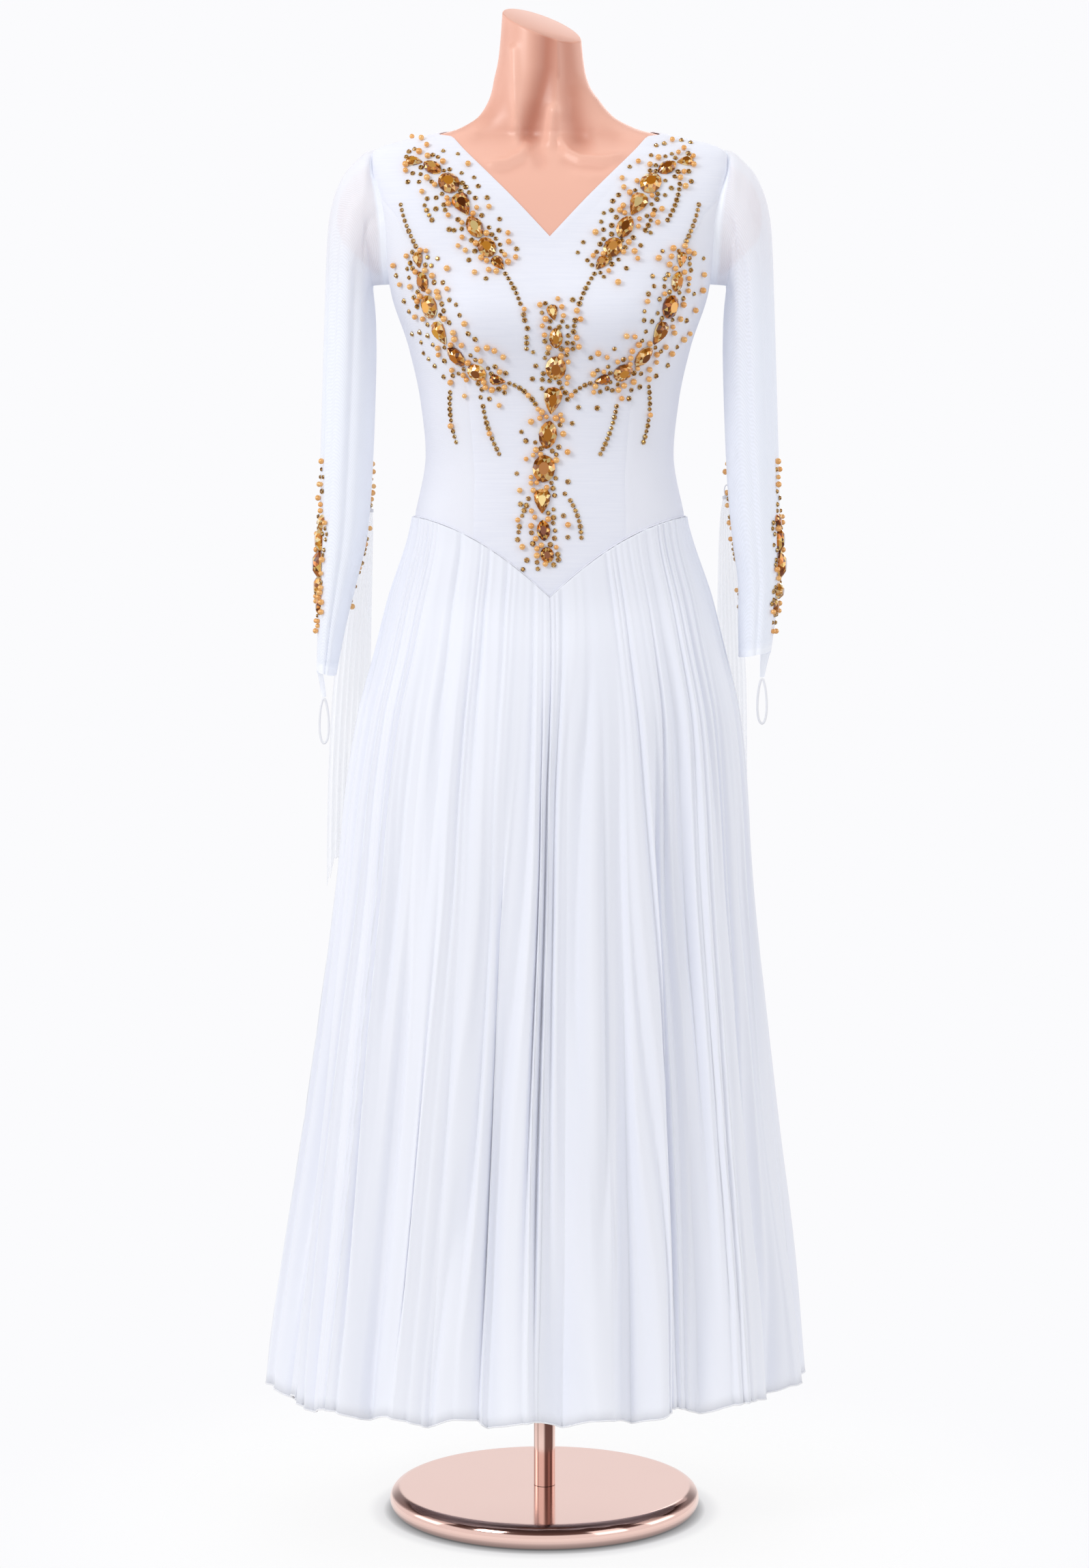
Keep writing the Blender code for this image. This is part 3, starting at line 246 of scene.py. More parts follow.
LOOP_LENGTH, LOOP_WIDTH, LOOP_THICK = 0.046, 0.0122, 0.0026
LOOP_TAPER = (0.72, 0.42)
LOOP_POINTS = 65
SEAM_GAP = 0.0004

FLOATS = {
    1: {
        "height": (1.0040, 0.985, 0.950, 0.880, 0.800, 0.720, 0.6450),
        "inner": (0.1705, 0.1680, 0.1670, 0.1665, 0.1680, 0.1700, 0.1710),
        "outer": (0.1760, 0.1800, 0.1850, 0.1920, 0.1965, 0.1980, 0.2010),
        "back": (0.0272, 0.0400, 0.0530, 0.0650, 0.0760, 0.0850, 0.0920),
    },
    -1: {
        "height": (0.9910, 0.975, 0.940, 0.870, 0.790, 0.720, 0.6535),
        "inner": (0.1740, 0.1740, 0.1750, 0.1770, 0.1790, 0.1830, 0.1880),
        "outer": (0.1795, 0.1860, 0.1950, 0.2080, 0.2175, 0.2220, 0.2235),
        "back": (0.0334, 0.0480, 0.0560, 0.0640, 0.0740, 0.0820, 0.0880),
    },
}
FLOAT_PLEATS = 7
FLOAT_STEPS, FLOAT_ROWS = 22, 90  # columns to a pleat, and rows
FLOAT_SHAPE = {"Fineness": 3.0, "Fine share": 0.16, "Lean": 0.3}
FLOAT_THICK = 0.0004
BINDING = {"thread": 0.0006, "beyond": 0.0008, "deep": 0.0022, "drop": 0.001, "points": 33}
BINDING_TURNS = (0.0, -0.0011, -0.0022)
BAR = {"wide": 0.0022, "ahead": -0.0012, "middle": 0.0045, "tall": 0.0055}
FLOAT_DEPTH, FLOAT_CLOSED, FLOAT_OPENS = 0.0044, 0.12, 1.6
FLOAT_TAIL, FLOAT_TAIL_PART = 0.041, 0.2
FLOAT_STEP = {"from": 0.55, "to": 0.9, "drop": 0.013}

# Sprigs of large stones: a curve of four points as distance from the centre and height, then the
# count, the end stones' length and the middle one's
SPRIGS = {
    "shoulder": (((0.137, 1.322), (0.088, 1.322), (0.084, 1.262), (0.043, 1.216)), 7, 0.014, 0.025),
    "bust": (((0.126, 1.236), (0.116, 1.176), (0.098, 1.118), (0.040, 1.112)), 7, 0.013, 0.024),
    "centre": (((0.0, 1.186), (0.022, 1.115), (-0.024, 1.030), (0.0, 0.938)), 9, 0.013, 0.027),
}
# Rows of small stones that run out from the sprigs
TRAILS = (
    ((0.043, 1.214), (0.030, 1.196), (0.020, 1.170), (0.022, 1.140)),
    ((0.040, 1.111), (0.028, 1.108), (0.016, 1.098), (0.010, 1.084)),
    ((0.064, 1.112), (0.066, 1.086), (0.058, 1.062), (0.046, 1.040)),
    ((0.090, 1.125), (0.098, 1.100), (0.096, 1.074), (0.088, 1.052)),
    ((0.122, 1.322), (0.126, 1.300), (0.122, 1.280), (0.110, 1.262)),
    ((0.100, 1.312), (0.106, 1.290), (0.100, 1.270), (0.088, 1.250)),
    ((0.126, 1.238), (0.134, 1.254), (0.140, 1.268), (0.142, 1.284)),
    ((0.012, 1.010), (0.024, 0.996), (0.030, 0.980), (0.030, 0.962)),
)
ARM_SPRIG = {"top": 0.985, "bottom": 0.888, "turn": -0.62, "count": 5, "end": 0.012, "middle": 0.027}
ARM_SPRIG_BOW = 0.25
# Small stones scattered beside a line: how far out, how many, and the gap between them
SPRAY_NEAR = {"shoulder": (0.0120, 74, 0.0050), "bust": (0.0120, 74, 0.0050), "centre": (0.0120, 84, 0.0050)}
SPRAY_FAR = (0.026, 32, 0.0075)
ARM_SPRAY, ARM_TAIL, ARM_BACK = (0.015, 34, 0.0056), (0.006, 16, 0.0056), (0.010, 34, 0.0056)
ARM_TAIL_HEIGHTS = (1.035, 0.872)
LARGE_STONE = 0.01
TAKES_UP = 0.005  # a small stone, where others look for a free spot
TRAIL_STEP, TRAIL_GAP = 0.0053, 0.0046
PEARL_SHARE, TRAIL_PEARLS, BACK_PEARLS = 0.42, 0.08, 0.3
ARM_ROUND = 0.035
LINE_POINTS = 60  # on the line of a trail or of an arm's sprig
STONE_WIDTH = 0.62
STONE_HEIGHT = 0.26
CROWN, TABLE = (0.74, 0.72), (0.46, 1.0)  # width and height of a stone's upper rings
SMALL_STONE = 0.0051
PEARL = 0.0058
SMALL_VARY = (0.82, 1.1)
# Small stones behind the arm: middle and sway of their turn, and their top and length
ARM_BACK_LINE = {"turn": 2.35, "sway": 0.3, "top": 1.045, "long": 0.15}

# The form and the stand
FORM_TOP_GAP = 0.0014  # the form lies this far under the dress's outer face
FORM_LOW_GAP = 0.0035  # and this much further under the skirt
FORM_LOW = (0.955, 1.0)
FORM_SHOULDER = 1.354
FORM_FREE = 1.385  # and its own surface shows from here up
FORM_BUST = 0.80
FORM_BOTTOM = 0.780
NECK_TOP = 1.4527
NECK_SLANT = -0.345
NECK_TILT = 0.34
NECK_BEND_FROM = 1.385
NECK_LEAN = -0.0075
NECK_LEAN_TO = 1.400
FORM_COLUMNS = 250
FORM_FRONT_PULL = 0.55  # its columns lie closer together in front
FORM_FINE_FROM, FORM_LOW_ROWS, FORM_FINE_ROWS = 1.22, 36, 118
CUT_EDGE, CUT_STEPS = 0.0016, (0.35, 0.75, 1.0)  # the rounded rim of the cut at the top
# Hollows and ridges of the neck and the collarbones: a line of (across, height) points, half its
# width and its height, and how deep its painted shade is (below zero, a painted highlight that takes shade
# away)
NECK_FORMS = (
    (
        ((0.0035, 1.448), (0.0020, 1.410), (-0.0035, 1.386), (-0.0090, 1.366), (-0.0135, 1.350)),
        0.0112, -0.0058, 0.84,
    ),
    (((0.0215, 1.440), (0.0245, 1.400), (0.0285, 1.362), (0.0335, 1.345)), 0.0115, -0.0048, 0.66),
    (((0.0120, 1.445), (0.0120, 1.405)), 0.0080, -0.0010, 0.55),
    (((-0.0420, 1.445), (-0.0420, 1.400), (-0.0490, 1.368)), 0.0160, 0.0, 0.30),
    (((0.0500, 1.425), (0.0510, 1.395)), 0.0120, 0.0, 0.22),
    (((0.0470, 1.350), (0.0660, 1.345)), 0.0085, -0.0022, 0.16),
    (((-0.0360, 1.349), (-0.0620, 1.346)), 0.0085, -0.0022, 0.12),
    (((-0.0085, 1.336), (-0.0040, 1.320)), 0.0065, -0.0024, 0.16),
    (((0.0200, 1.3210), (0.0350, 1.3155), (0.0550, 1.3140), (0.0720, 1.3160)), 0.0050, -0.0013, 0.13),
    (((-0.0200, 1.3195), (-0.0340, 1.3120), (-0.0550, 1.3080), (-0.0700, 1.3110)), 0.0050, -0.0013, 0.10),
    (((-0.0300, 1.428), (-0.0275, 1.385), (-0.0247, 1.340)), 0.0050, 0.0028, -0.2),
    (((0.0080, 1.370), (0.0068, 1.358), (0.0060, 1.340)), 0.0058, 0.0046, -0.85),
    (
        ((0.0155, 1.341), (0.0230, 1.330), (0.0335, 1.3240), (0.0530, 1.3225), (0.0720, 1.3245)),
        0.0046, 0.0040, -0.25,
    ),
    (
        ((-0.0173, 1.339), (-0.0226, 1.3270), (-0.0342, 1.3205), (-0.0554, 1.3170), (-0.0720, 1.3200)),
        0.0050, 0.0038, -0.2,
    ),
    (((0.0330, 1.3070), (0.0500, 1.3030)), 0.0065, 0.0012, -0.1),
)
NECK_SHADE_SOFT = 1.2
# The relief fades out towards the back, and near the neck edge except above these heights
RELIEF_FRONT, RELIEF_EDGE = (0.0, -0.02), (0.001, 0.014)
RELIEF_OPEN = {"from": 1.345, "to": 1.36, "more": 0.05}
# Painted shade on the flat cut at the top of the neck
CUT_SHADE = 0.20  # the flat cut at the top is a little deeper in colour
CUT_SHARP = (-0.002, 0.0015)  # and that tone starts between these heights about the cut
STUMP_CENTRE = (0.151, 0.005, 1.2715)
STUMP_SIZE = (0.0545, 0.0450, 0.0560)
STUMP_CUT = (0.1925, 0.0, 1.2405)
BASE_RADIUS, BASE_THICK = 0.1535, 0.024
POLE_RADIUS = 0.0106
POLE_PLAY = 0.0003
PLATE_SIDES, POLE_SIDES, POLE_RINGS, RIM_RINGS = 160, 96, 8, 33
PLATE_RINGS = (0.97, 0.8, 0.5, 0.2, 0.09)  # across its top, as shares of the flat part
# Painted dark reflection: a band round the plate's rim
RIM_REFLECTION = (0.45, 0.62, 0.95, 0.995)  # the dark band round the plate's rim fades in and out at these
RIM_FRONT, RIM_ENDS = (-0.25, 0.10), (0.3, 0.9)  # it lies in front, and darker towards its ends
# Painted dark reflections along the pole: where round it in degrees from the front, half width and depth
POLE_REFLECTIONS = (
    (25, 28, 0.96), (-38, 7, 0.35), (-70, 7, 0.55), (112, 12, 0.8), (150, 7, 0.5),
    (-165, 15, 0.9), (-112, 10, 0.6),
)

CAMERA_AT = (0.0, -3.6, 1.03)
CAMERA_DOWN = math.radians(4.88)
CAMERA_LENS = 84.8
WORLD_LIGHT = 0.76
SOFT_LIGHT = ((0.0, (0.80, 0.80, 0.84)), (1.0, (0.98, 0.99, 1.0)))  # from straight down to straight up
BACKDROP = (0.965, 0.965, 0.982)
# Tones of the floor by how far from the pole they lie: where it fades out, and a painted contact shadow round
# the plate
FLOOR_FADE = ((0.24, (1, 1, 1)), (0.62, (0, 0, 0)))
CONTACT_SHADOW = (
    (0.142, (0.10, 0.10, 0.10)), (0.152, (0.42, 0.42, 0.43)), (0.162, (0.86, 0.86, 0.87)), (0.178, (1, 1, 1)),
)
# What polished parts mirror, from straight down to straight up
MIRRORED = (
    (0.0, (0.50, 0.46, 0.45)), (0.42, (0.30, 0.24, 0.22)), (0.50, (1.20, 1.17, 1.18)),
    (0.68, (1.20, 1.17, 1.18)), (0.76, (0.15, 0.09, 0.08)), (1.0, (0.08, 0.05, 0.05)),
)
# Area lights: place, what they point at, width and height, and power
LIGHTS = {
    "key": ((-2.4, -2.4, 2.7), (0, 0, 0.95), (1.3, 1.3), 44),
    "fill": ((2.6, -2.2, 1.7), (0, 0, 0.8), (1.6, 2.4), 12),
    "left_side": ((-2.8, 0.3, 1.5), (0, 0, 0.9), (1.4, 2.0), 9),
    "right_side": ((2.8, 0.3, 1.5), (0, 0, 0.9), (1.4, 2.0), 9),
    "above": ((0.0, 0.4, 3.4), (0, 0, 0.9), (2.0, 2.0), 8),
    "behind": ((0.6, 2.6, 2.2), (0, 0, 0.9), (2.0, 2.0), 14),
}


class Number:
    """A number socket that takes part in sums."""

    def __init__(self, nodes, socket):
        self.nodes = nodes
        self.socket = socket


def sum_methods(operation):
    """How a Number takes part in one kind of sum, as its first value and as its second."""

    def first(number, other):
        return number.nodes.math(operation, number, other)

    def second(number, other):
        return number.nodes.math(operation, other, number)

    return first, second


for word, operation in (("add", "ADD"), ("sub", "SUBTRACT"), ("mul", "MULTIPLY"), ("truediv", "DIVIDE")):
    for prefix, method in zip(("__", "__r"), sum_methods(operation)):
        setattr(Number, prefix + word + "__", method)


class Nodes:
    """Adds nodes to one tree, of either kind."""

    def __init__(self, tree):
        self.tree = tree

    def add(self, kind, settings=None, inputs=None):
        node = self.tree.nodes.new(kind)
        for name, value in (settings or {}).items():
            setattr(node, name, value)
        for name, value in (inputs or {}).items():
            self.feed(node.inputs[name], value)
        return node

    def feed(self, socket, value):
        if isinstance(value, Number):
            value = value.socket
        if isinstance(value, bpy.types.NodeSocket):
            self.tree.links.new(value, socket)
        else:
            socket.default_value = value

    def math(self, operation, *values):
        node = self.add("ShaderNodeMath", {"operation": operation}, dict(enumerate(values)))
        return Number(self, node.outputs[0])

    def ramp(self, factor, stops, smooth=True):
        """A colour ramp of (place, colour) stops."""
        node = self.add("ShaderNodeValToRGB", {}, {"Fac": factor})
        ramp = node.color_ramp
        ramp.interpolation = "EASE" if smooth else "LINEAR"
        while len(ramp.elements) < len(stops):
            ramp.elements.new(1.0)
        for element, (place, colour) in zip(ramp.elements, stops):
            element.position = place
            element.color = (*colour, 1.0)
        return node.outputs["Color"]

    def mix(self, factor, first, second, blend="MIX"):
        node = self.add("ShaderNodeMix", {"data_type": "RGBA", "blend_type": blend})
        for index, value in ((0, factor), (6, first), (7, second)):
            if isinstance(value, tuple) and len(value) == 3:
                value = (*value, 1.0)
            self.feed(node.inputs[index], value)
        return node.outputs[2]

    def noise(self, vector, scale, detail=2.0, rough=0.5):
        found = self.add(
            "ShaderNodeTexNoise", {},
            {"Vector": vector, "Scale": scale, "Detail": detail, "Roughness": rough},
        )
        return Number(self, found.outputs[0])

    def wave(self, vector, scale, distortion=0.0, direction="Z", detail=2.0):
        found = self.add(
            "ShaderNodeTexWave",
            {"bands_direction": direction},
            {"Vector": vector, "Scale": scale, "Distortion": distortion, "Detail": detail},
        )
        return Number(self, found.outputs["Fac"])

    def attribute(self, name):
        return Number(self, self.add("ShaderNodeAttribute", {"attribute_name": name}).outputs["Fac"])

    def place(self, stretch=(1, 1, 1)):
        at = self.add("ShaderNodeTexCoord").outputs["Object"]
        return self.add("ShaderNodeMapping", {}, {"Vector": at, "Scale": stretch}).outputs[0]

    def bump(self, height, strength, distance):
        made = self.add(
            "ShaderNodeBump", {}, {"Height": height, "Strength": strength, "Distance": distance}
        )
        return made.outputs["Normal"]


def finish_of(name, build, **fixed):
    """A material whose Principled shader has these fixed values, and the sockets that build returns."""
    made = bpy.data.materials.new(name)
    made.use_nodes = True
    nodes = Nodes(made.node_tree)
    shader = made.node_tree.nodes["Principled BSDF"]
    for socket, value in fixed.items():
        nodes.feed(shader.inputs[socket.replace("_", " ")], value)
    for socket, value in build(nodes).items():
        nodes.feed(shader.inputs[socket], value)
    return made


def crepe(nodes):
    """Matt crepe with fine crosswise slubs."""
    slub = nodes.noise(nodes.place((26, 26, 520)), 1.0, 3.0, 0.6)
    rib = nodes.wave(nodes.place(), 520.0, 1.6)
    cloud = nodes.noise(nodes.place(), 9.0, 2.0)
    height = slub * 0.7 + rib * 0.3
    tone = nodes.mix(slub * 0.8, (0.885, 0.895, 0.965), (0.775, 0.795, 0.895))
    return {
        "Base Color": nodes.mix(cloud * 0.18, tone, (0.90, 0.905, 0.96)),
        "Normal": nodes.bump(height, 0.34, 0.0004),
        "Roughness": 0.70 + cloud * 0.14,
    }


def fine_mesh(nodes):
    """Close stretch mesh over the form, with a diagonal grain."""
    grain = nodes.wave(nodes.place((1, 0.6, 1)), 430.0, 2.2, "DIAGONAL")
    cloud = nodes.noise(nodes.place(), 12.0, 2.0)
    return {
        "Base Color": nodes.mix(grain * 0.4, (0.915, 0.925, 0.995), (0.86, 0.87, 0.95)),
        "Normal": nodes.bump(grain, 0.18, 0.0003),
        "Alpha": 0.89 + cloud * 0.08,
    }


def sheer_mesh(nodes):
    """Sheer sleeve mesh: closer where an edge or seam doubles it."""
    grain = nodes.wave(nodes.place((1, 1, 0.55)), 330.0, 3.0, "DIAGONAL")
    cloud = nodes.noise(nodes.place((1, 1, 0.3)), 22.0, 2.0)
    cover = nodes.attribute("cover")
    thin = 0.50 + grain * 0.06 + cloud * 0.14
    return {
        "Base Color": nodes.mix(grain * 0.35, (0.965, 0.975, 1.0), (0.92, 0.935, 0.985)),
        "Normal": nodes.bump(grain, 0.16, 0.0003),
        "Alpha": thin + cover * (1 - thin) * 0.85,
    }


def chiffon(nodes):
    """Soft chiffon with painted shade, darker and cooler, in its folds and upper part, and a fine crinkle
    along its length.
    """
    crinkle = nodes.noise(nodes.place((420, 420, 30)), 1.0, 2.0, 0.6)
    cloud = nodes.noise(nodes.place((1, 1, 0.25)), 7.0, 2.0)
    depth = nodes.attribute("valley")
    # painted shade: a darker, cooler tone in the skirt's folds, troughs and upper part
    tone = nodes.mix(depth * 0.55, (0.905, 0.92, 0.985), (0.85, 0.87, 0.945))
    return {
        "Base Color": nodes.mix(cloud * 0.20, tone, (0.93, 0.94, 0.99)),
        "Normal": nodes.bump(crinkle, 0.10, 0.0003),
    }


def float_chiffon(nodes):
    found = chiffon(nodes)
    cloud = nodes.noise(nodes.place((60, 60, 4)), 1.0, 2.0)
    found["Base Color"] = nodes.mix(cloud * 0.3, (0.97, 0.975, 1.0), (0.93, 0.94, 0.98))
    found["Alpha"] = 0.18 + cloud * 0.12
    return found


def twisted_thread(nodes):
    twist = nodes.wave(nodes.place(), 900.0, 0.0, "DIAGONAL")
    return {
        "Base Color": nodes.mix(twist * 0.5, (0.95, 0.955, 0.98), (0.84, 0.85, 0.89)),
        "Normal": nodes.bump(twist, 0.4, 0.0002),
    }


def facet_light(nodes, share):
    """Each facet's own painted light and shade, moved on by its stone's tone."""
    return nodes.math("FRACT", nodes.attribute("facet") + nodes.attribute("tone") * share)


# Colour ramps of the stones, from a facet's painted shade up to its painted highlight
PALE_AMBER = (
    (0.0, (0.26, 0.07, 0.003)), (0.3, (0.70, 0.24, 0.012)), (0.6, (1.0, 0.53, 0.07)),
    (0.88, (1.0, 0.90, 0.55)),
)
DEEP_AMBER = (
    (0.0, (0.055, 0.010, 0.001)), (0.4, (0.24, 0.048, 0.002)), (0.7, (0.74, 0.22, 0.008)),
    (0.94, (1.0, 0.70, 0.20)),
)
BRONZE = (
    (0.0, (0.13, 0.048, 0.003)), (0.4, (0.32, 0.135, 0.012)), (0.72, (0.74, 0.40, 0.07)),
    (0.95, (1.0, 0.84, 0.46)),
)


def cut_glass(nodes):
    """Foiled amber glass whose stones differ in depth of colour, each facet in its own painted light and
    shade.
    """
    lit = facet_light(nodes, 1.7)
    pale, deep = (nodes.ramp(lit, stops, False) for stops in (PALE_AMBER, DEEP_AMBER))
    return {"Base Color": nodes.mix(nodes.attribute("deep"), pale, deep), "Metallic": 0.20 + lit * 0.25}


def rhinestone(nodes):
    """Small bronze stones, each facet in its own painted light and shade."""
    return {"Base Color": nodes.ramp(facet_light(nodes, 0.6), BRONZE, False)}


def pearl(nodes):
    bloom = nodes.noise(nodes.place(), 160.0, 2.0)
    warm = nodes.mix(nodes.attribute("tone"), (0.88, 0.39, 0.085), (0.94, 0.52, 0.17))
    return {"Base Color": nodes.mix(bloom * 0.18, warm, (1.0, 0.80, 0.52))}


def form_plastic(nodes):
    cloud = nodes.noise(nodes.place(), 6.0, 2.0)
    grain = nodes.noise(nodes.place(), 900.0, 2.0)
    skin = nodes.mix(cloud * 0.5, (0.905, 0.495, 0.375), (0.935, 0.53, 0.41))
    return {
        # Painted shade darkens the skin in the neck's hollows, at its sides and on the cut
        "Base Color": nodes.mix(nodes.attribute("shade"), skin, (0.50, 0.165, 0.10)),
        "Roughness": 0.34 + grain * 0.08,
        "Normal": nodes.bump(grain, 0.05, 0.0002),
    }


def rose_gold(nodes):
    cloud = nodes.noise(nodes.place(), 14.0, 3.0)
    grain = nodes.noise(nodes.place((1, 1, 0.4)), 1300.0, 1.0)
    painted_reflection = nodes.attribute("painted_reflection")
    plate = nodes.mix(cloud * 0.4, (0.88, 0.62, 0.55), (0.92, 0.67, 0.60))
    return {
        # Painted dark reflections of the room darken the plating
        "Base Color": nodes.mix(painted_reflection, plate, (0.12, 0.045, 0.035)),
        "Roughness": 0.09 + grain * 0.03,
        "Normal": nodes.bump(grain, 0.02, 0.0002),
    }


def floor_paint(nodes):
    """A pale floor that fades into the studio's backdrop away from the stand, with a painted contact shadow
    round the plate.
    """
    at = nodes.add("ShaderNodeTexCoord").outputs["Object"]
    away = nodes.add("ShaderNodeVectorMath", {"operation": "LENGTH"}, {0: at}).outputs["Value"]
    near = nodes.ramp(away, FLOOR_FADE)
    # Painted contact shadow round the plate, in the floor's colour and in its glow
    shaded = nodes.ramp(away, CONTACT_SHADOW)
    tone = nodes.mix(1.0, (0.10, 0.10, 0.102, 1.0), shaded, "MULTIPLY")
    return {"Base Color": tone, "Alpha": near, "Emission Color": shaded}


# A painted glow on sheer cloth that stands in for light soaking through from the other side
SOFT_GLOW = {"Emission_Color": (0.60, 0.72, 1.0, 1.0), "Emission_Strength": 0.075}
FINISH = {
    "crepe": finish_of("dress_crepe", crepe, Sheen_Weight=0.25, Sheen_Roughness=0.5),
    "fine_mesh": finish_of("side_mesh", fine_mesh, Roughness=0.7, Sheen_Weight=0.2),
    "sheer_mesh": finish_of("sleeve_mesh_finish", sheer_mesh, Roughness=0.65, Sheen_Weight=0.2, **SOFT_GLOW),
    "chiffon": finish_of("skirt_chiffon", chiffon, Roughness=0.72, Sheen_Weight=0.3, Sheen_Roughness=0.4),
    "float_chiffon": finish_of("float_chiffon", float_chiffon, Roughness=0.7, Sheen_Weight=0.3, **SOFT_GLOW),
    "thread": finish_of("white_thread", twisted_thread, Roughness=0.55, Sheen_Weight=0.2),
    "glass": finish_of("amber_glass", cut_glass, Roughness=0.07, Coat_Weight=1.0, Coat_Roughness=0.02),
    "rhinestone": finish_of("bronze_stone", rhinestone, Roughness=0.12, Metallic=0.6, Coat_Weight=1.0),
    "pearl": finish_of("peach_pearl", pearl, Roughness=0.22, Coat_Weight=0.6, Metallic=0.15),
    "plastic": finish_of("form_skin", form_plastic, Coat_Weight=0.08, Coat_Roughness=0.22),
    "rose_gold": finish_of("rose_gold_plate", rose_gold, Metallic=1.0),
    "floor": finish_of("pale_floor", floor_paint, Roughness=0.9, Emission_Strength=0.855),
}


def read(table, column, at):
    """A column of a table read at these heights, along a curve that never overshoots its rows."""
    xs = np.array(table["height"])
    ys = np.array(table[column])
    if xs[0] > xs[-1]:
        xs, ys = xs[::-1], ys[::-1]
    slopes = np.diff(ys) / np.diff(xs)
    ends = np.zeros(len(xs))
    ends[0], ends[-1] = slopes[0], slopes[-1]
    both = slopes[:-1] * slopes[1:]
    total = np.where(both > 0, slopes[:-1] + slopes[1:], 1.0)
    ends[1:-1] = np.where(both > 0, 2 * both / total, 0.0)
    at = np.asarray(at, float)
    i = np.clip(np.searchsorted(xs, at) - 1, 0, len(xs) - 2)
    width = xs[i + 1] - xs[i]
    u = (at - xs[i]) / width
    return (
        ys[i] * (1 + 2 * u) * (1 - u) ** 2
        + ends[i] * width * u * (1 - u) ** 2
        + ys[i + 1] * u * u * (3 - 2 * u)
        + ends[i + 1] * width * u * u * (u - 1)
    )


def smooth(low, high, at):
    """0 below low, 1 above high, and an even bend between."""
    u = np.clip((np.asarray(at, float) - low) / (high - low), 0.0, 1.0)
    return u * u * (3 - 2 * u)


def unit(vectors):
    return vectors / np.maximum(np.linalg.norm(vectors, axis=-1, keepdims=True), 1e-12)


def body_skin(turn, height, bust=1.0):
    turn, height = np.broadcast_arrays(np.asarray(turn, float), np.asarray(height, float))
    facing = np.cos(turn)
    ahead = facing > 0
    depth = np.where(ahead, read(BODY, "front", height), read(BODY, "back", height))
    square = read(BODY, "square", height) * np.where(ahead, 1.0, BACK_SQUARE)
    out = 1 + square * np.sin(2 * turn) ** 2
    x = read(BODY, "side", height) * np.sin(turn) * out
    far = np.sqrt(x * x + BRIDGE_SOFT**2)
    apart = np.maximum(far - BUST["apart"], BUST_BRIDGE * (BUST["apart"] - far))
    near = (apart / BUST["width"]) ** 2 + ((height - BUST["height"]) / BUST["tall"]) ** 2
    full = bust * BUST["full"] * np.exp(-near) * np.clip(facing * 2, 0.0, 1.0)
    return np.stack([x + CENTRE_X, -depth * facing * out - full, height], axis=-1)


def body_normal(turn, height, bust=1.0):
    turn, height = np.broadcast_arrays(np.asarray(turn, float), np.asarray(height, float))
    about = body_skin(turn + STEP, height, bust) - body_skin(turn - STEP, height, bust)
    upwards = body_skin(turn, height + STEP, bust) - body_skin(turn, height - STEP, bust)
    return unit(np.cross(about, upwards))


def turn_across(across, height):
    """The turn at which the front of the body is this far from the centre."""
    across, height = np.broadcast_arrays(np.asarray(across, float), np.asarray(height, float))
    low, high = np.zeros(across.shape), np.full(across.shape, QUARTER * 0.999)
    for _ in range(HALVINGS):
        middle = (low + high) / 2
        inside = body_skin(middle, height)[..., 0] - CENTRE_X < np.abs(across)
        low = np.where(inside, middle, low)
        high = np.where(inside, high, middle)
    return np.where(across < 0, -low, low)


def waist_seam(turn):
    rise = 1 - (1 - np.abs(np.sin(turn))) ** BASQUE_CURVE
    front = BASQUE_TIP + (WAIST_SIDE - BASQUE_TIP) * rise
    return np.where(np.cos(turn) > 0, front, WAIST_SIDE)


def armhole(angle):
    """Turn and height on the armhole: angle 0 is its top, a quarter its back, half its underarm."""
    return QUARTER + ARM_HALF_TURN * np.sin(angle), ARM_MIDDLE + ARM_HALF_HEIGHT * np.cos(angle)


def lengths(points):
    """How far along a path each of its points lies."""
    return np.concatenate([[0], np.cumsum(np.linalg.norm(np.diff(points, axis=0), axis=1))])


def resample(path, count, pull=1.0):
    along = lengths(body_skin(path[:, 0], path[:, 1]))
    wanted = along[-1] * (1 - (1 - np.linspace(0, 1, count)) ** pull)
    return np.stack([np.interp(wanted, along, path[:, k]) for k in (0, 1)], axis=-1)


def table_path(table):
    """The path over the front of the body that a table of (height, across) gives."""
    heights = np.linspace(table["height"][0], table["height"][-1], CURVE_POINTS)
    return np.stack([turn_across(read(table, "across", heights), heights), heights], axis=-1)


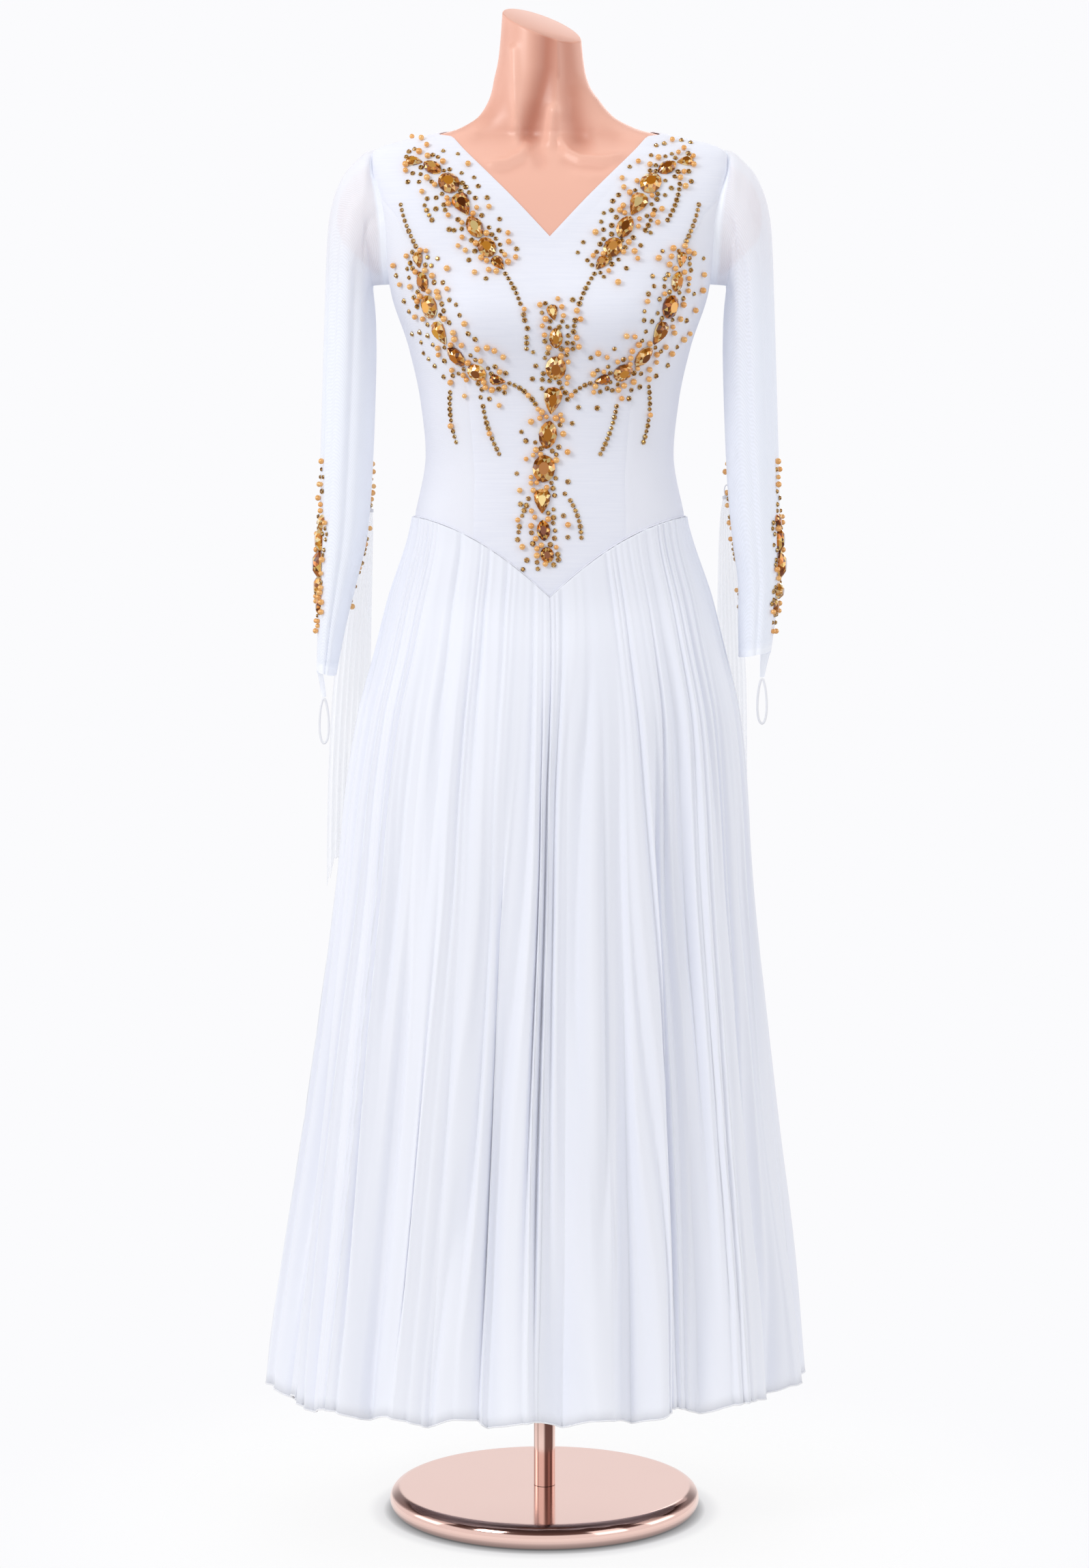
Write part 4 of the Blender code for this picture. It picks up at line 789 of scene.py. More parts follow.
def seams(side):
    """The paths that the bodice's panels share on one side, as (turn, height)."""
    shares = np.linspace(0, 1, PATH_POINTS)
    still = np.zeros(len(shares))
    foot = float(turn_across(*WAIST_PRINCESS))
    top = -math.acos((PRINCESS_TOP - ARM_MIDDLE) / ARM_HALF_HEIGHT)
    lower_arc = np.stack(armhole(top - (math.pi + top) * shares), axis=-1)
    front_arc = np.stack(armhole(top * (1 - shares)), axis=-1)
    princess, edge = (table_path(table) for table in (PRINCESS, NECK_EDGE))
    foot_point = [[foot, float(waist_seam(foot))]]

    def level(turns):
        return np.stack([turns, waist_seam(turns)], axis=-1)

    def upright(turn, low, high):
        return np.stack([still + turn, low + (high - low) * shares], axis=-1)

    neck_rise = (NECK_POINT - BACK_NECK) * np.sin(QUARTER * shares) ** 2
    paths = {
        "princess": np.concatenate([foot_point, princess, front_arc[:1]]),
        "front_arc": front_arc,
        "lower_arc": lower_arc,
        "side_seam": upright(QUARTER, WAIST_SIDE, lower_arc[-1][1]),
        "back_arc": np.stack(armhole(math.pi * (1 - shares)), axis=-1),
        "shoulder": upright(QUARTER, NECK_POINT, front_arc[-1][1]),
        "centre": upright(0.0, BASQUE_TIP, V_BOTTOM),
        "neck_edge": np.concatenate([edge, [[QUARTER, NECK_POINT]]]),
        "waist_front": level(foot * shares),
        "waist_side": level(foot + (QUARTER - foot) * shares),
        "waist_back": level(QUARTER * (2 - shares)),
        "centre_back": upright(2 * QUARTER, WAIST_SIDE, BACK_NECK),
        "neck_back": np.stack([QUARTER * (2 - shares), BACK_NECK + neck_rise], axis=-1),
    }
    return {name: resample(paths[name], *SEAM_POINTS[name]) * (side, 1) for name in paths}


def filled(bottom, top, inner, outer):
    """A grid of points blended from its four edges."""
    v = np.linspace(0, 1, len(inner))[:, None, None]
    u = np.linspace(0, 1, len(bottom))[None, :, None]
    across = (1 - u) * inner[:, None] + u * outer[:, None]
    along = (1 - v) * bottom[None] + v * top[None]
    corners = (1 - u) * (1 - v) * bottom[0] + u * (1 - v) * bottom[-1]
    return across + along - corners - (1 - u) * v * top[0] - u * v * top[-1]


def nearest_on_body(target, turn, height):
    """The turn and height of the body's points nearest these, from a first guess."""
    for _ in range(NEAREST_STEPS):
        here = body_skin(turn, height)
        a = (body_skin(turn + STEP, height) - here) / STEP
        b = (body_skin(turn, height + STEP) - here) / STEP
        gap = target - here
        aa, ab, bb = (a * a).sum(-1), (a * b).sum(-1), (b * b).sum(-1)
        ag, bg = (a * gap).sum(-1), (b * gap).sum(-1)
        base = np.maximum(aa * bb - ab * ab, 1e-12)
        most_turn, most_rise = NEAREST_LIMITS
        turn = turn + np.clip((bb * ag - ab * bg) / base, -most_turn, most_turn)
        height = height + np.clip((aa * bg - ab * ag) / base, -most_rise, most_rise)
    return turn, height


def panel_grid(bottom, top, inner, outer):
    edges = (bottom, top, inner, outer)
    guess = filled(*edges)
    spots = filled(*(body_skin(edge[:, 0], edge[:, 1]) for edge in edges))
    turn, height = nearest_on_body(spots, guess[..., 0], guess[..., 1])
    grid = np.stack([turn, height], axis=-1)
    grid[0], grid[-1], grid[:, 0], grid[:, -1] = edges
    return grid


def distance(points, path):
    """How far each point is from the nearest point of a path."""
    flat = points.reshape(-1, 3)
    least = np.full(len(flat), np.inf)
    for spot in path:
        np.minimum(least, ((flat - spot) ** 2).sum(axis=1), out=least)
    return np.sqrt(least).reshape(points.shape[:-1])


def grid_faces(rows, columns, ring=False):
    i, j = np.meshgrid(np.arange(rows - 1), np.arange(columns if ring else columns - 1), indexing="ij")
    k = (j + 1) % columns
    found = np.stack([i * columns + j, i * columns + k, (i + 1) * columns + k, (i + 1) * columns + j], -1)
    return found.reshape(-1, 4)


def new_object(name, points, edges=(), faces=(), finish=None):
    """An object with a mesh of these points, linked into the scene."""
    mesh = bpy.data.meshes.new(name)
    points = np.asarray(points).reshape(-1, 3)
    mesh.from_pydata([tuple(p) for p in points], list(edges), [tuple(f) for f in faces])
    if finish:
        mesh.materials.append(FINISH[finish])
    made = bpy.data.objects.new(name, mesh)
    bpy.context.scene.collection.objects.link(made)
    return made


def frozen(made):
    """Makes what the piece's modifiers do part of its mesh."""
    graph = bpy.context.evaluated_depsgraph_get()
    mesh = bpy.data.meshes.new_from_object(made.evaluated_get(graph), depsgraph=graph)
    made.modifiers.clear()
    made.data = mesh


def places_of(made):
    """The places of a mesh's points."""
    kept = np.zeros(len(made.data.vertices) * 3, np.float32)
    made.data.vertices.foreach_get("co", kept)
    return kept.reshape(-1, 3)


def settle(made, smooth_angle=50):
    """Merges what meets, turns the faces out and shades the piece smooth."""
    bm = bmesh.new()
    bm.from_mesh(made.data)
    bmesh.ops.remove_doubles(bm, verts=bm.verts, dist=WELD)
    bmesh.ops.recalc_face_normals(bm, faces=bm.faces)
    bm.to_mesh(made.data)
    bm.free()
    made.data.shade_smooth()
    made.data.set_sharp_from_angle(angle=math.radians(smooth_angle))


def attach(made, slot, *nodes):
    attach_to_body(made, BODY_NAME)
    if nodes:
        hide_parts(*nodes)
    return made


def store(made, name, values):
    """Keeps one number for each point of a mesh."""
    kept = made.data.attributes.get(name) or made.data.attributes.new(name, "FLOAT", "POINT")
    kept.data.foreach_set("value", np.asarray(values, np.float32).reshape(-1))


def store_vector(made, name, values):
    kept = made.data.attributes.new(name, "FLOAT_VECTOR", "POINT")
    kept.data.foreach_set("vector", np.asarray(values, np.float32).reshape(-1))


def shell(name, outer, normals, faces, finish, thick=SHELL, cover=None):
    """A closed wall of cloth under these outer points, with a rim along its free edges."""
    outer = outer.reshape(-1, 3)
    inner = outer - normals.reshape(-1, 3) * thick
    count = len(outer)
    ends = np.concatenate([faces[:, [0, 1]], faces[:, [1, 2]], faces[:, [2, 3]], faces[:, [3, 0]]])
    keys = np.sort(ends, axis=1)
    _, first, uses = np.unique(keys, axis=0, return_index=True, return_counts=True)
    a, b = ends[first[uses == 1]].T
    rims = np.stack([b, a, a + count, b + count], axis=-1)
    every = np.concatenate([faces, faces[:, ::-1] + count, rims])
    made = new_object(name, np.concatenate([outer, inner]), (), every, finish)
    if cover is not None:
        store(made, "cover", np.concatenate([cover.reshape(-1)] * 2))
    settle(made)
    return made


def add_panel(name, grids, finish, seam_paths, neck=None):
    """A bodice panel over grids of (turn, height), sunk a little at its seams."""
    points, normals, faces, start = [], [], [], 0
    for grid in grids:
        placed = body_skin(grid[..., 0], grid[..., 1])
        outward = body_normal(grid[..., 0], grid[..., 1])
        dip = -SEAM_DIP * np.exp(-((distance(placed, seam_paths) / SEAM_SOFT) ** 2))
        if neck is not None:
            away = distance(placed, neck)
            inside = 1 - smooth(FACING["width"] - FACING["soft"], FACING["width"] + FACING["soft"], away)
            stitch = np.exp(-(((away - FACING["width"] + STITCH["inset"]) / STITCH["soft"]) ** 2))
            roll = np.exp(-((away / ROLL["soft"]) ** 2))
            dip = dip + FACING["rise"] * inside - STITCH["dip"] * stitch - ROLL["dip"] * roll
        points.append((placed + outward * dip[..., None]).reshape(-1, 3))
        normals.append(outward.reshape(-1, 3))
        faces.append(grid_faces(*grid.shape[:2]) + start)
        start += grid.shape[0] * grid.shape[1]
    outer, outward, faces = welded(np.concatenate(points), np.concatenate(normals), np.concatenate(faces))
    return shell(name, outer, outward, faces, finish)


def welded(points, normals, faces):
    """The same faces with points that lie on each other made one."""
    _, first, new = np.unique(np.round(points, 6), axis=0, return_index=True, return_inverse=True)
    return points[first], normals[first], new.reshape(-1)[faces]


def path_of(*paths):
    both = np.concatenate(paths)
    return body_skin(both[:, 0], both[:, 1])


def make_bodice():
    fronts, backs, neck = [], [], []
    paths = {side: seams(side) for side in (1, -1)}

    def edges_of(sides, *names):
        return path_of(*(paths[side][name] for side in sides for name in names))

    for side, path in paths.items():
        shoulder = resample(path["shoulder"], SEAM_POINTS["waist_front"][0])
        inner = np.concatenate([path["centre"], path["neck_edge"][1:]])
        outer = np.concatenate([path["princess"], path["front_arc"][1:]])
        fronts.append(panel_grid(path["waist_front"], shoulder, inner, outer))
        neck += [path["neck_edge"], path["neck_back"]]
        side_grid = panel_grid(path["waist_side"], path["lower_arc"], path["princess"], path["side_seam"])
        name = "bodice_side_front_" + SIDE_NAME[side]
        edges = edges_of((side,), "princess", "lower_arc", "side_seam", "waist_side")
        panel = attach(add_panel("shown_" + name, [side_grid], "fine_mesh", edges), "power_mesh", name)
        top = np.concatenate([path["neck_back"], path["shoulder"][1:]])
        outer = np.concatenate([path["side_seam"], path["back_arc"][1:]])
        backs.append(panel_grid(path["waist_back"], top, path["centre_back"], outer))
    neck_path = path_of(*neck)
    edges = edges_of((1, -1), "princess", "front_arc", "waist_front", "shoulder")
    front = add_panel("shown_bodice_front", fronts, "crepe", edges, neck_path)
    attach(front, "bodice_crepe", "bodice_front")
    edges = edges_of((1, -1), "side_seam", "back_arc", "waist_back", "shoulder")
    back = add_panel("shown_bodice_back", backs, "crepe", edges, neck_path)
    attach(back, "bodice_crepe", "bodice_back")


def geometry_tree(name, inputs):
    """An empty geometry tree with these (name, type, value) inputs: its nodes, group input and output."""
    tree = bpy.data.node_groups.new(name, "GeometryNodeTree")
    tree.interface.new_socket("Geometry", in_out="INPUT", socket_type="NodeSocketGeometry")
    for label, kind, value in inputs:
        socket = tree.interface.new_socket(label, in_out="INPUT", socket_type="NodeSocket" + kind)
        if value is not None:
            socket.default_value = value
    tree.interface.new_socket("Geometry", in_out="OUTPUT", socket_type="NodeSocketGeometry")
    nodes = Nodes(tree)
    return nodes, nodes.add("NodeGroupInput"), nodes.add("NodeGroupOutput")


def named(nodes, name, kind="FLOAT"):
    node = nodes.add("GeometryNodeInputNamedAttribute", {"data_type": kind}, {"Name": name})
    return node.outputs["Attribute"]


def ended(nodes, geometry, group_in, group_out):
    """Real faces in the tree's own finish."""
    real = nodes.add("GeometryNodeRealizeInstances", {}, {"Geometry": geometry}).outputs[0]
    painted = nodes.add(
        "GeometryNodeSetMaterial", {}, {"Geometry": real, "Material": group_in.outputs["Finish"]}
    )
    nodes.feed(group_out.inputs[0], painted.outputs[0])


def through(made, tree, finish, values):
    """Puts the piece through a tree with these inputs, and keeps it as a plain mesh in its finish."""
    modifier = made.modifiers.new(tree.name, "NODES")
    modifier.node_group = tree
    values = {**values, "Finish": FINISH[finish]}
    for item in tree.interface.items_tree:
        if item.in_out == "INPUT" and item.name in values:
            modifier[item.identifier] = values[item.name]
    frozen(made)


def pleat_tree():
    """Moves each point back along its own way out by a flat-faced pleat, and a finer one on it."""
    nodes, given, result = geometry_tree(
        "pleats",
        [
            ("Fineness", "Float", 2.0),
            ("Fine share", "Float", 0.12),
            ("Lean", "Float", 0.4),
            ("Edge", "Float", 0.94),
            ("Finish", "Material", None),
        ],
    )
    sharp, lean, fineness, fine_share = (
        Number(nodes, given.outputs[name]) for name in ("Edge", "Lean", "Fineness", "Fine share")
    )
    phase, depth, gather, hollow = (
        Number(nodes, named(nodes, name)) for name in ("phase", "depth", "gather", "hollow")
    )

    def facets(turned):
        """A wave of flat slopes whose edges are rounder for a smaller Edge."""
        return nodes.math("ARCSINE", nodes.math("SINE", turned) * sharp) / nodes.math("ARCSINE", sharp)

    turned = phase * FULL_TURN
    fold = facets(turned + nodes.math("SINE", turned) * lean)
    fine = facets(turned * fineness + FINE_START)
    amount = depth * (fold - 1 + fine * fine_share) + gather * (fine - 0.5)
    away = nodes.add(
        "ShaderNodeVectorMath", {"operation": "SCALE"},
        {"Vector": named(nodes, "way_out", "FLOAT_VECTOR"), "Scale": amount},
    ).outputs[0]
    moved = nodes.add("GeometryNodeSetPosition", {}, {"Geometry": given.outputs["Geometry"], "Offset": away})
    # Painted shade: how much a pleat's trough, a fold and the skirt's upper part darken the chiffon
    valley = (0.5 - fold * 0.5) * VALLEY_SHADE_SHARE + hollow
    kept = nodes.add(
        "GeometryNodeStoreNamedAttribute", {"data_type": "FLOAT"},
        {"Geometry": moved.outputs[0], "Name": "valley", "Value": valley},
    )
    ended(nodes, kept.outputs[0], given, result)
    return nodes.tree


def tube_tree():
    """A round thread or roll along the edges of a mesh."""
    nodes, given, result = geometry_tree(
        "round_thread", [("Radius", "Float", 0.001), ("Sides", "Int", 6), ("Finish", "Material", None)]
    )
    line = nodes.add("GeometryNodeMeshToCurve", {}, {"Mesh": given.outputs["Geometry"]}).outputs[0]
    ring = nodes.add(
        "GeometryNodeCurvePrimitiveCircle", {"mode": "RADIUS"},
        {"Resolution": given.outputs["Sides"], "Radius": given.outputs["Radius"]},
    ).outputs[0]
    made = nodes.add("GeometryNodeCurveToMesh", {}, {"Curve": line, "Profile Curve": ring, "Fill Caps": True})
    smooth_faces = nodes.add("GeometryNodeSetShadeSmooth", {}, {"Geometry": made.outputs[0]}).outputs[0]
    ended(nodes, smooth_faces, given, result)
    return nodes.tree


def setting_tree():
    """Sets one stone on each point, turned to its face and along its line, at its own size."""
    nodes, given, result = geometry_tree(
        "set_stones", [("Stone", "Object", None), ("Finish", "Material", None)]
    )
    upright = nodes.add(
        "FunctionNodeAlignRotationToVector", {"axis": "Z"}, {"Vector": named(nodes, "face", "FLOAT_VECTOR")}
    ).outputs[0]
    lined = nodes.add(
        "FunctionNodeAlignRotationToVector", {"axis": "Y", "pivot_axis": "Z"},
        {"Rotation": upright, "Vector": named(nodes, "line", "FLOAT_VECTOR")},
    ).outputs[0]
    stone = nodes.add("GeometryNodeObjectInfo", {}, {"Object": given.outputs["Stone"]}).outputs["Geometry"]
    placed = nodes.add(
        "GeometryNodeInstanceOnPoints", {},
        {
            "Points": given.outputs["Geometry"],
            "Instance": stone,
            "Rotation": lined,
            "Scale": named(nodes, "size", "FLOAT_VECTOR"),
        },
    ).outputs[0]
    ended(nodes, placed, given, result)
    return nodes.tree


PLEAT_TREE = pleat_tree()
TUBE_TREE = tube_tree()
SETTING_TREE = setting_tree()


def add_thread(name, paths, radius, finish, sides=6):
    """Round threads along paths of points; a path that ends where it starts is a closed ring."""
    points, edges = [], []
    for path in paths:
        path = np.asarray(path)
        ring = np.linalg.norm(path[0] - path[-1]) < 1e-6
        first, kept = len(points), path[:-1] if ring else path
        points += [tuple(p) for p in kept]
        edges += [(first + k, first + k + 1) for k in range(len(kept) - 1)]
        if ring:
            edges.append((first + len(kept) - 1, first))
    made = new_object(name, points, edges)
    through(made, TUBE_TREE, finish, {"Radius": radius, "Sides": sides})
    made.data.shade_smooth()
    return made


def ripple(waves, turn, share):
    """The sum of a table of waves, at this turn round the skirt and this share of the way down."""
    return sum(size * np.sin(times * turn + shift * share + start) for size, times, shift, start in waves)


def uneven(size, waves, turn, share):
    """A size that waves round the skirt and stays between its least and most."""
    return np.clip(size["usual"] + ripple(waves, turn, share), size["least"], size["most"])


def grown(growth, share):
    """1 where it is full, and the given share of that where it starts."""
    least, start, full = growth
    return least + (1 - least) * smooth(start, full, share)


def skirt_base(turn, share):
    """Points of the skirt before its pleats, the way out from it, and how deep in a fold each lies."""
    drift = ripple(HEM_DRIFT, turn, share)
    wave = 2 * np.abs(np.cos((WAVES * turn + drift) / 2)) ** WAVE_SHARP - 1
    hem = HEM_FRONT + HEM_TILT * np.sin(turn) + WAVE_DROP * wave
    height = (waist_seam(turn) - SEAM_GAP) * (1 - share) + hem * share
    side, front, back, middle = (read(SKIRT, k, height) for k in ("side", "front", "back", "middle"))
    depth = np.where(np.cos(turn) > 0, front, back)
    out = unit(np.stack([np.sin(turn) / side, -np.cos(turn) / depth], axis=-1))
    round_it = np.stack([middle + side * np.sin(turn), -depth * np.cos(turn)], axis=-1)
    onto = body_skin(turn, height)[..., :2] + out * SKIRT_OUT
    free = np.minimum(share / SKIRT_FREE, 1.0)
    free = (free * (2 - free))[..., None]
    hollow, lean = fold_shape(turn, share)
    billow = WAVE_OUT * share**WAVE_CURVE * (wave - 1)
    plan = onto * (1 - free) + round_it * free + out * (billow - hollow)[..., None]
    plan = outside_body(plan, turn, height, middle)
    sideways = np.stack([-out[..., 1], out[..., 0]], axis=-1)
    plan = plan + sideways * lean[..., None]
    points = np.concatenate([plan, height[..., None]], axis=-1)
    way_out = np.concatenate([out, np.zeros(height.shape)[..., None]], axis=-1)
    return points, way_out, hollow


def small_folds():
    rng = np.random.default_rng(8)
    folds = []
    for k in range(SMALL_FOLDS["count"]):
        angle = 360 * (k + rng.uniform(-1, 1) * SMALL_FOLDS["jitter"]) / SMALL_FOLDS["count"]
        ranges = (SMALL_FOLDS[key] for key in ("half", "depth", "start", "run"))
        half, depth, start, run = (rng.uniform(*span) for span in ranges)
        folds.append((angle, half, depth, start, start + run, int(rng.integers(-1, 2))))
    return tuple(folds)


EVERY_FOLD = FOLDS + small_folds()


def wrapped(turn):
    """The same turn between half a circle back and half a circle ahead."""
    return (turn + math.pi) % FULL_TURN - math.pi


def fold_shape(turn, share):
    """How deep in a fold each spot lies, and how far a crisp fold's edge leans over its trough."""
    total, lean = np.zeros(turn.shape), np.zeros(turn.shape)
    turn = turn + ripple(FOLD_WANDER, turn, share) * share
    for angle, half, depth, start, full, crisp in EVERY_FOLD:
        away = wrapped(turn - math.radians(angle)) / math.radians(half)
        size = depth * smooth(start, full, share)
        if crisp:
            edge = (away - OVERHANG["place"] * crisp) / OVERHANG["soft"]
            lean = lean - crisp * OVERHANG["size"] * size * np.exp(-(edge**2))
            away = away / np.where(away * crisp > 0, CRISP, GENTLE)
        total = total + size * np.exp(-(away**2))
    return total, lean


def outside_body(plan, turn, height, middle):
    centre = np.stack([middle, np.zeros(middle.shape)], axis=-1)
    body = body_skin(turn, np.maximum(height, FORM_BOTTOM))[..., :2] - centre
    arm = plan - centre
    least = np.linalg.norm(body, axis=-1) + SKIRT_CLEAR
    grown = np.maximum(1.0, least / np.linalg.norm(arm, axis=-1))
    grown = np.where(height < FORM_BOTTOM - BELOW_FORM, 1.0, grown)
    return centre + arm * grown[..., None]


def store_pleats(made, turn, share, hollow, way_out):
    """Keeps what the pleats follow at each point of a skirt panel."""
    warp = ripple(PLEAT_WARP, turn, share) + ripple(PLEAT_WANDER, turn, share) * share
    warp = warp * grown(WARP_GROWS, share)
    vary = uneven(PLEAT_SIZE, PLEAT_VARY, turn, share)
    vary = vary * (1 - HEM_CALM["share"] * smooth(*HEM_CALM["part"], share)) * grown(PLEAT_GROWS, share)
    size = PLEAT_TOP + (PLEAT_FULL - PLEAT_TOP) * np.minimum(share / PLEAT_OPEN, 1.0) ** PLEAT_BEND
    bunched = uneven(GATHER_SIZE, GATHER_VARY, turn, share)
    fading = grown(GATHER_GROWS, share) * np.exp(-share / GATHER["fades"])
    upper = 1 - smooth(*UPPER_PART, share)
    store(made, "phase", PLEATS * turn / FULL_TURN + warp)
    store(made, "depth", size * vary)
    store(made, "gather", GATHER["depth"] * bunched * fading)
    # The hollow attribute carries painted shade: deeper folds and the upper part darker
    store(made, "hollow", np.minimum(hollow / FULL_HOLLOW, 1.0) * 0.5 + upper * UPPER_SHADE)
    store_vector(made, "way_out", way_out)


def make_skirt():
    columns = PLEATS // 4 * PLEAT_STEPS
    shares = np.linspace(0, 1, SKIRT_ROWS) ** SKIRT_ROWS_PULL
    names = ("skirt_front_left", "skirt_back_left", "skirt_back_right", "skirt_front_right")
    hems = []
    for quarter, name in enumerate(names):
        turns = QUARTER * (quarter + np.linspace(0, 1, columns + 1))
        turn, share = np.meshgrid(turns, shares)
        points, way_out, hollow = skirt_base(turn, share)
        made = new_object("shown_" + name, points, (), grid_faces(*turn.shape))
        store_pleats(made, turn, share, hollow, way_out)
        through(made, PLEAT_TREE, "chiffon", PLEAT_SHAPE)
        hems.append(places_of(made).reshape(*turn.shape, 3)[-1])
        thicken(made, SHELL)
        attach(made, "chiffon", name)
    hem = np.concatenate([edge[:-1] for edge in hems] + [hems[0][:1]])
    attach(add_thread("hem_roll", [hem], HEM_ROLL, "thread"), "chiffon")
    turns = np.linspace(0, FULL_TURN, 361)
    waist = body_skin(turns, waist_seam(turns)) + body_normal(turns, waist_seam(turns)) * PIPING_LIFT
    attach(add_thread("waist_piping", [waist], PIPING, "crepe", 8), "bodice_crepe")


def thicken(made, thick):
    """Turns a smooth surface into cloth this thick."""
    made.data.shade_smooth()
    solid = made.modifiers.new("thickness", "SOLIDIFY")
    solid.thickness = thick
    solid.offset = 0.0
    solid.use_rim = True
    frozen(made)


def sleeve_controls(side, angles):
    """The sleeve's sections as rings of points, from the armhole down."""
    turn, height = armhole(angles)
    first = body_skin(turn, height) - body_normal(turn, height) * SLEEVE_UNDER
    rings = [first * (side, 1, 1) + (CENTRE_X - side * CENTRE_X, 0, 0)]
    for outer_x, outer_z, inner_x, inner_z, depth in SLEEVE + CUFF[side]:
        outer, inner = np.array((outer_x, outer_z)), np.array((inner_x, inner_z))
        flat = (outer + inner) / 2 + (outer - inner) / 2 * np.cos(angles)[:, None]
        rings.append(
            np.stack([CENTRE_X + side * flat[:, 0], SLEEVE_BACK + depth * np.sin(angles), flat[:, 1]], -1)
        )
    return np.array(rings)


def eased(rings, steps):
    """Rows between rings of points along a smooth curve, and the ring number of each row."""
    places = np.linspace(0, len(rings) - 1, (len(rings) - 1) * steps + 1)
    i = np.minimum(places.astype(int), len(rings) - 2)
    u = (places - i)[:, None, None]
    before, after = rings[np.maximum(i - 1, 0)], rings[np.minimum(i + 2, len(rings) - 1)]
    a, b = rings[i], rings[i + 1]
    rows = (
        a * (2 * u**3 - 3 * u**2 + 1)
        + b * (3 * u**2 - 2 * u**3)
        + (b - before) / 2 * (u**3 - 2 * u**2 + u)
        + (after - a) / 2 * (u**3 - u**2)
    )
    return rows, places


def ring_normals(rows, side):
    """Outward directions on a tube of rings that runs downwards."""
    about = np.roll(rows, -1, axis=1) - np.roll(rows, 1, axis=1)
    along = np.gradient(rows, axis=0)
    return unit(np.cross(about, along)) * -side


def sleeve_rows(side):
    """A sleeve's rows of points with its creases, their outward directions and their angles."""
    angles = np.linspace(-math.pi, math.pi, SLEEVE_TURNS, endpoint=False)
    rows, places = eased(sleeve_controls(side, angles), SLEEVE_STEPS)
    normals = ring_normals(rows, side)
    centre = rows.mean(axis=1, keepdims=True)
    if ((rows - centre) * normals).sum() < 0:
        normals = -normals
    sink = np.zeros(rows.shape[:2])
    for top, bottom, half, depth, first, last in SLEEVE_CREASES:
        along = np.clip((places - first) / (last - first), 0.0, 1.0)
        middle = np.radians(top + (bottom - top) * along)
        strength = np.sin(np.pi * along) ** 0.7 if last < len(SLEEVE) + 3 else smooth(0.0, 0.35, along)
        away = wrapped(angles[None] - middle[:, None])
        sink += depth * strength[:, None] * np.exp(-((away / math.radians(half)) ** 2))
    return rows - normals * sink[..., None], normals, angles


def make_sleeve(side):
    rows, normals, angles = sleeve_rows(side)
    name = "sleeve_" + SIDE_NAME[side]
    down = np.concatenate([[0], np.cumsum(np.linalg.norm(np.diff(rows, axis=0), axis=-1).mean(axis=1))])
    cuff = [down[-1] - away for away in CUFF_FACING]
    ends = (1 - smooth(*TOP_FACING, down)) + smooth(*cuff, down)
    from_seam = (np.abs(angles) - math.pi) * UNDERARM_SEAM["arm"] / UNDERARM_SEAM["half"]
    cover = np.clip(ends[:, None] + np.exp(-(from_seam**2))[None] * UNDERARM_SEAM["cover"], 0, 1)
    faces = grid_faces(len(rows), SLEEVE_TURNS, ring=True)
    made = shell("shown_" + name, rows, normals, faces, "sheer_mesh", SLEEVE_THICK, cover)
    attach(made, "sleeve_mesh", name)
    make_tab(side, rows[-1], normals[-1], angles)
    return rows, normals


def make_tab(side, edge, normals, angles):
    """The tongue at the cuff's hand side, and the elastic loop at its tip."""
    chosen = (angles >= TAB_FROM) & (angles <= TAB_TO)
    top = edge[chosen] - (0, 0, SEAM_GAP)
    outward = normals[chosen]
    end = (top - outward * TAB_INSET).mean(axis=0) - (side * TAB_SHIFT, 0, TAB_LENGTH)
    tip = end + np.linspace(-0.5, 0.5, len(top))[:, None] * TAB_END_WIDTH * np.array((side, 0, 0))
    parts = np.linspace(0, 1, TAB_ROWS)[:, None, None]
    bend = parts**0.8
    rows = top[None] * (1 - bend) + tip[None] * bend
    rows[..., 2] = (top[None] * (1 - parts) + tip[None] * parts)[..., 2]
    facing = unit(outward[None] * (1 - parts) + np.array((0, -1.0, 0)) * parts)
    cover = np.full(rows.shape[:2], TAB_COVER)
    cover[:, (0, 1, -1, -2)] = 1.0
    faces = grid_faces(*rows.shape[:2])
    name = "hand_tab_" + SIDE_NAME[side]
    made = shell("shown_" + name, rows, facing, faces, "sheer_mesh", TAB_THICK, cover)
    attach(made, "sleeve_mesh", name)
    radius = LOOP_THICK / 2
    turn = np.linspace(0, FULL_TURN, LOOP_POINTS)
    drop = (1 - np.cos(turn)) / 2
    wide = (LOOP_WIDTH / 2 - radius) * np.sin(turn) * (LOOP_TAPER[0] + LOOP_TAPER[1] * drop)
    low = -SEAM_GAP - radius - drop * (LOOP_LENGTH - 2 * radius)
    path = end + np.stack([wide, np.zeros(LOOP_POINTS), low], axis=-1)
    path[-1] = path[0]
    name = "finger_loop_" + SIDE_NAME[side]
    attach(add_thread("shown_" + name, [path], radius * 0.9, "thread", 10), "elastic", name)


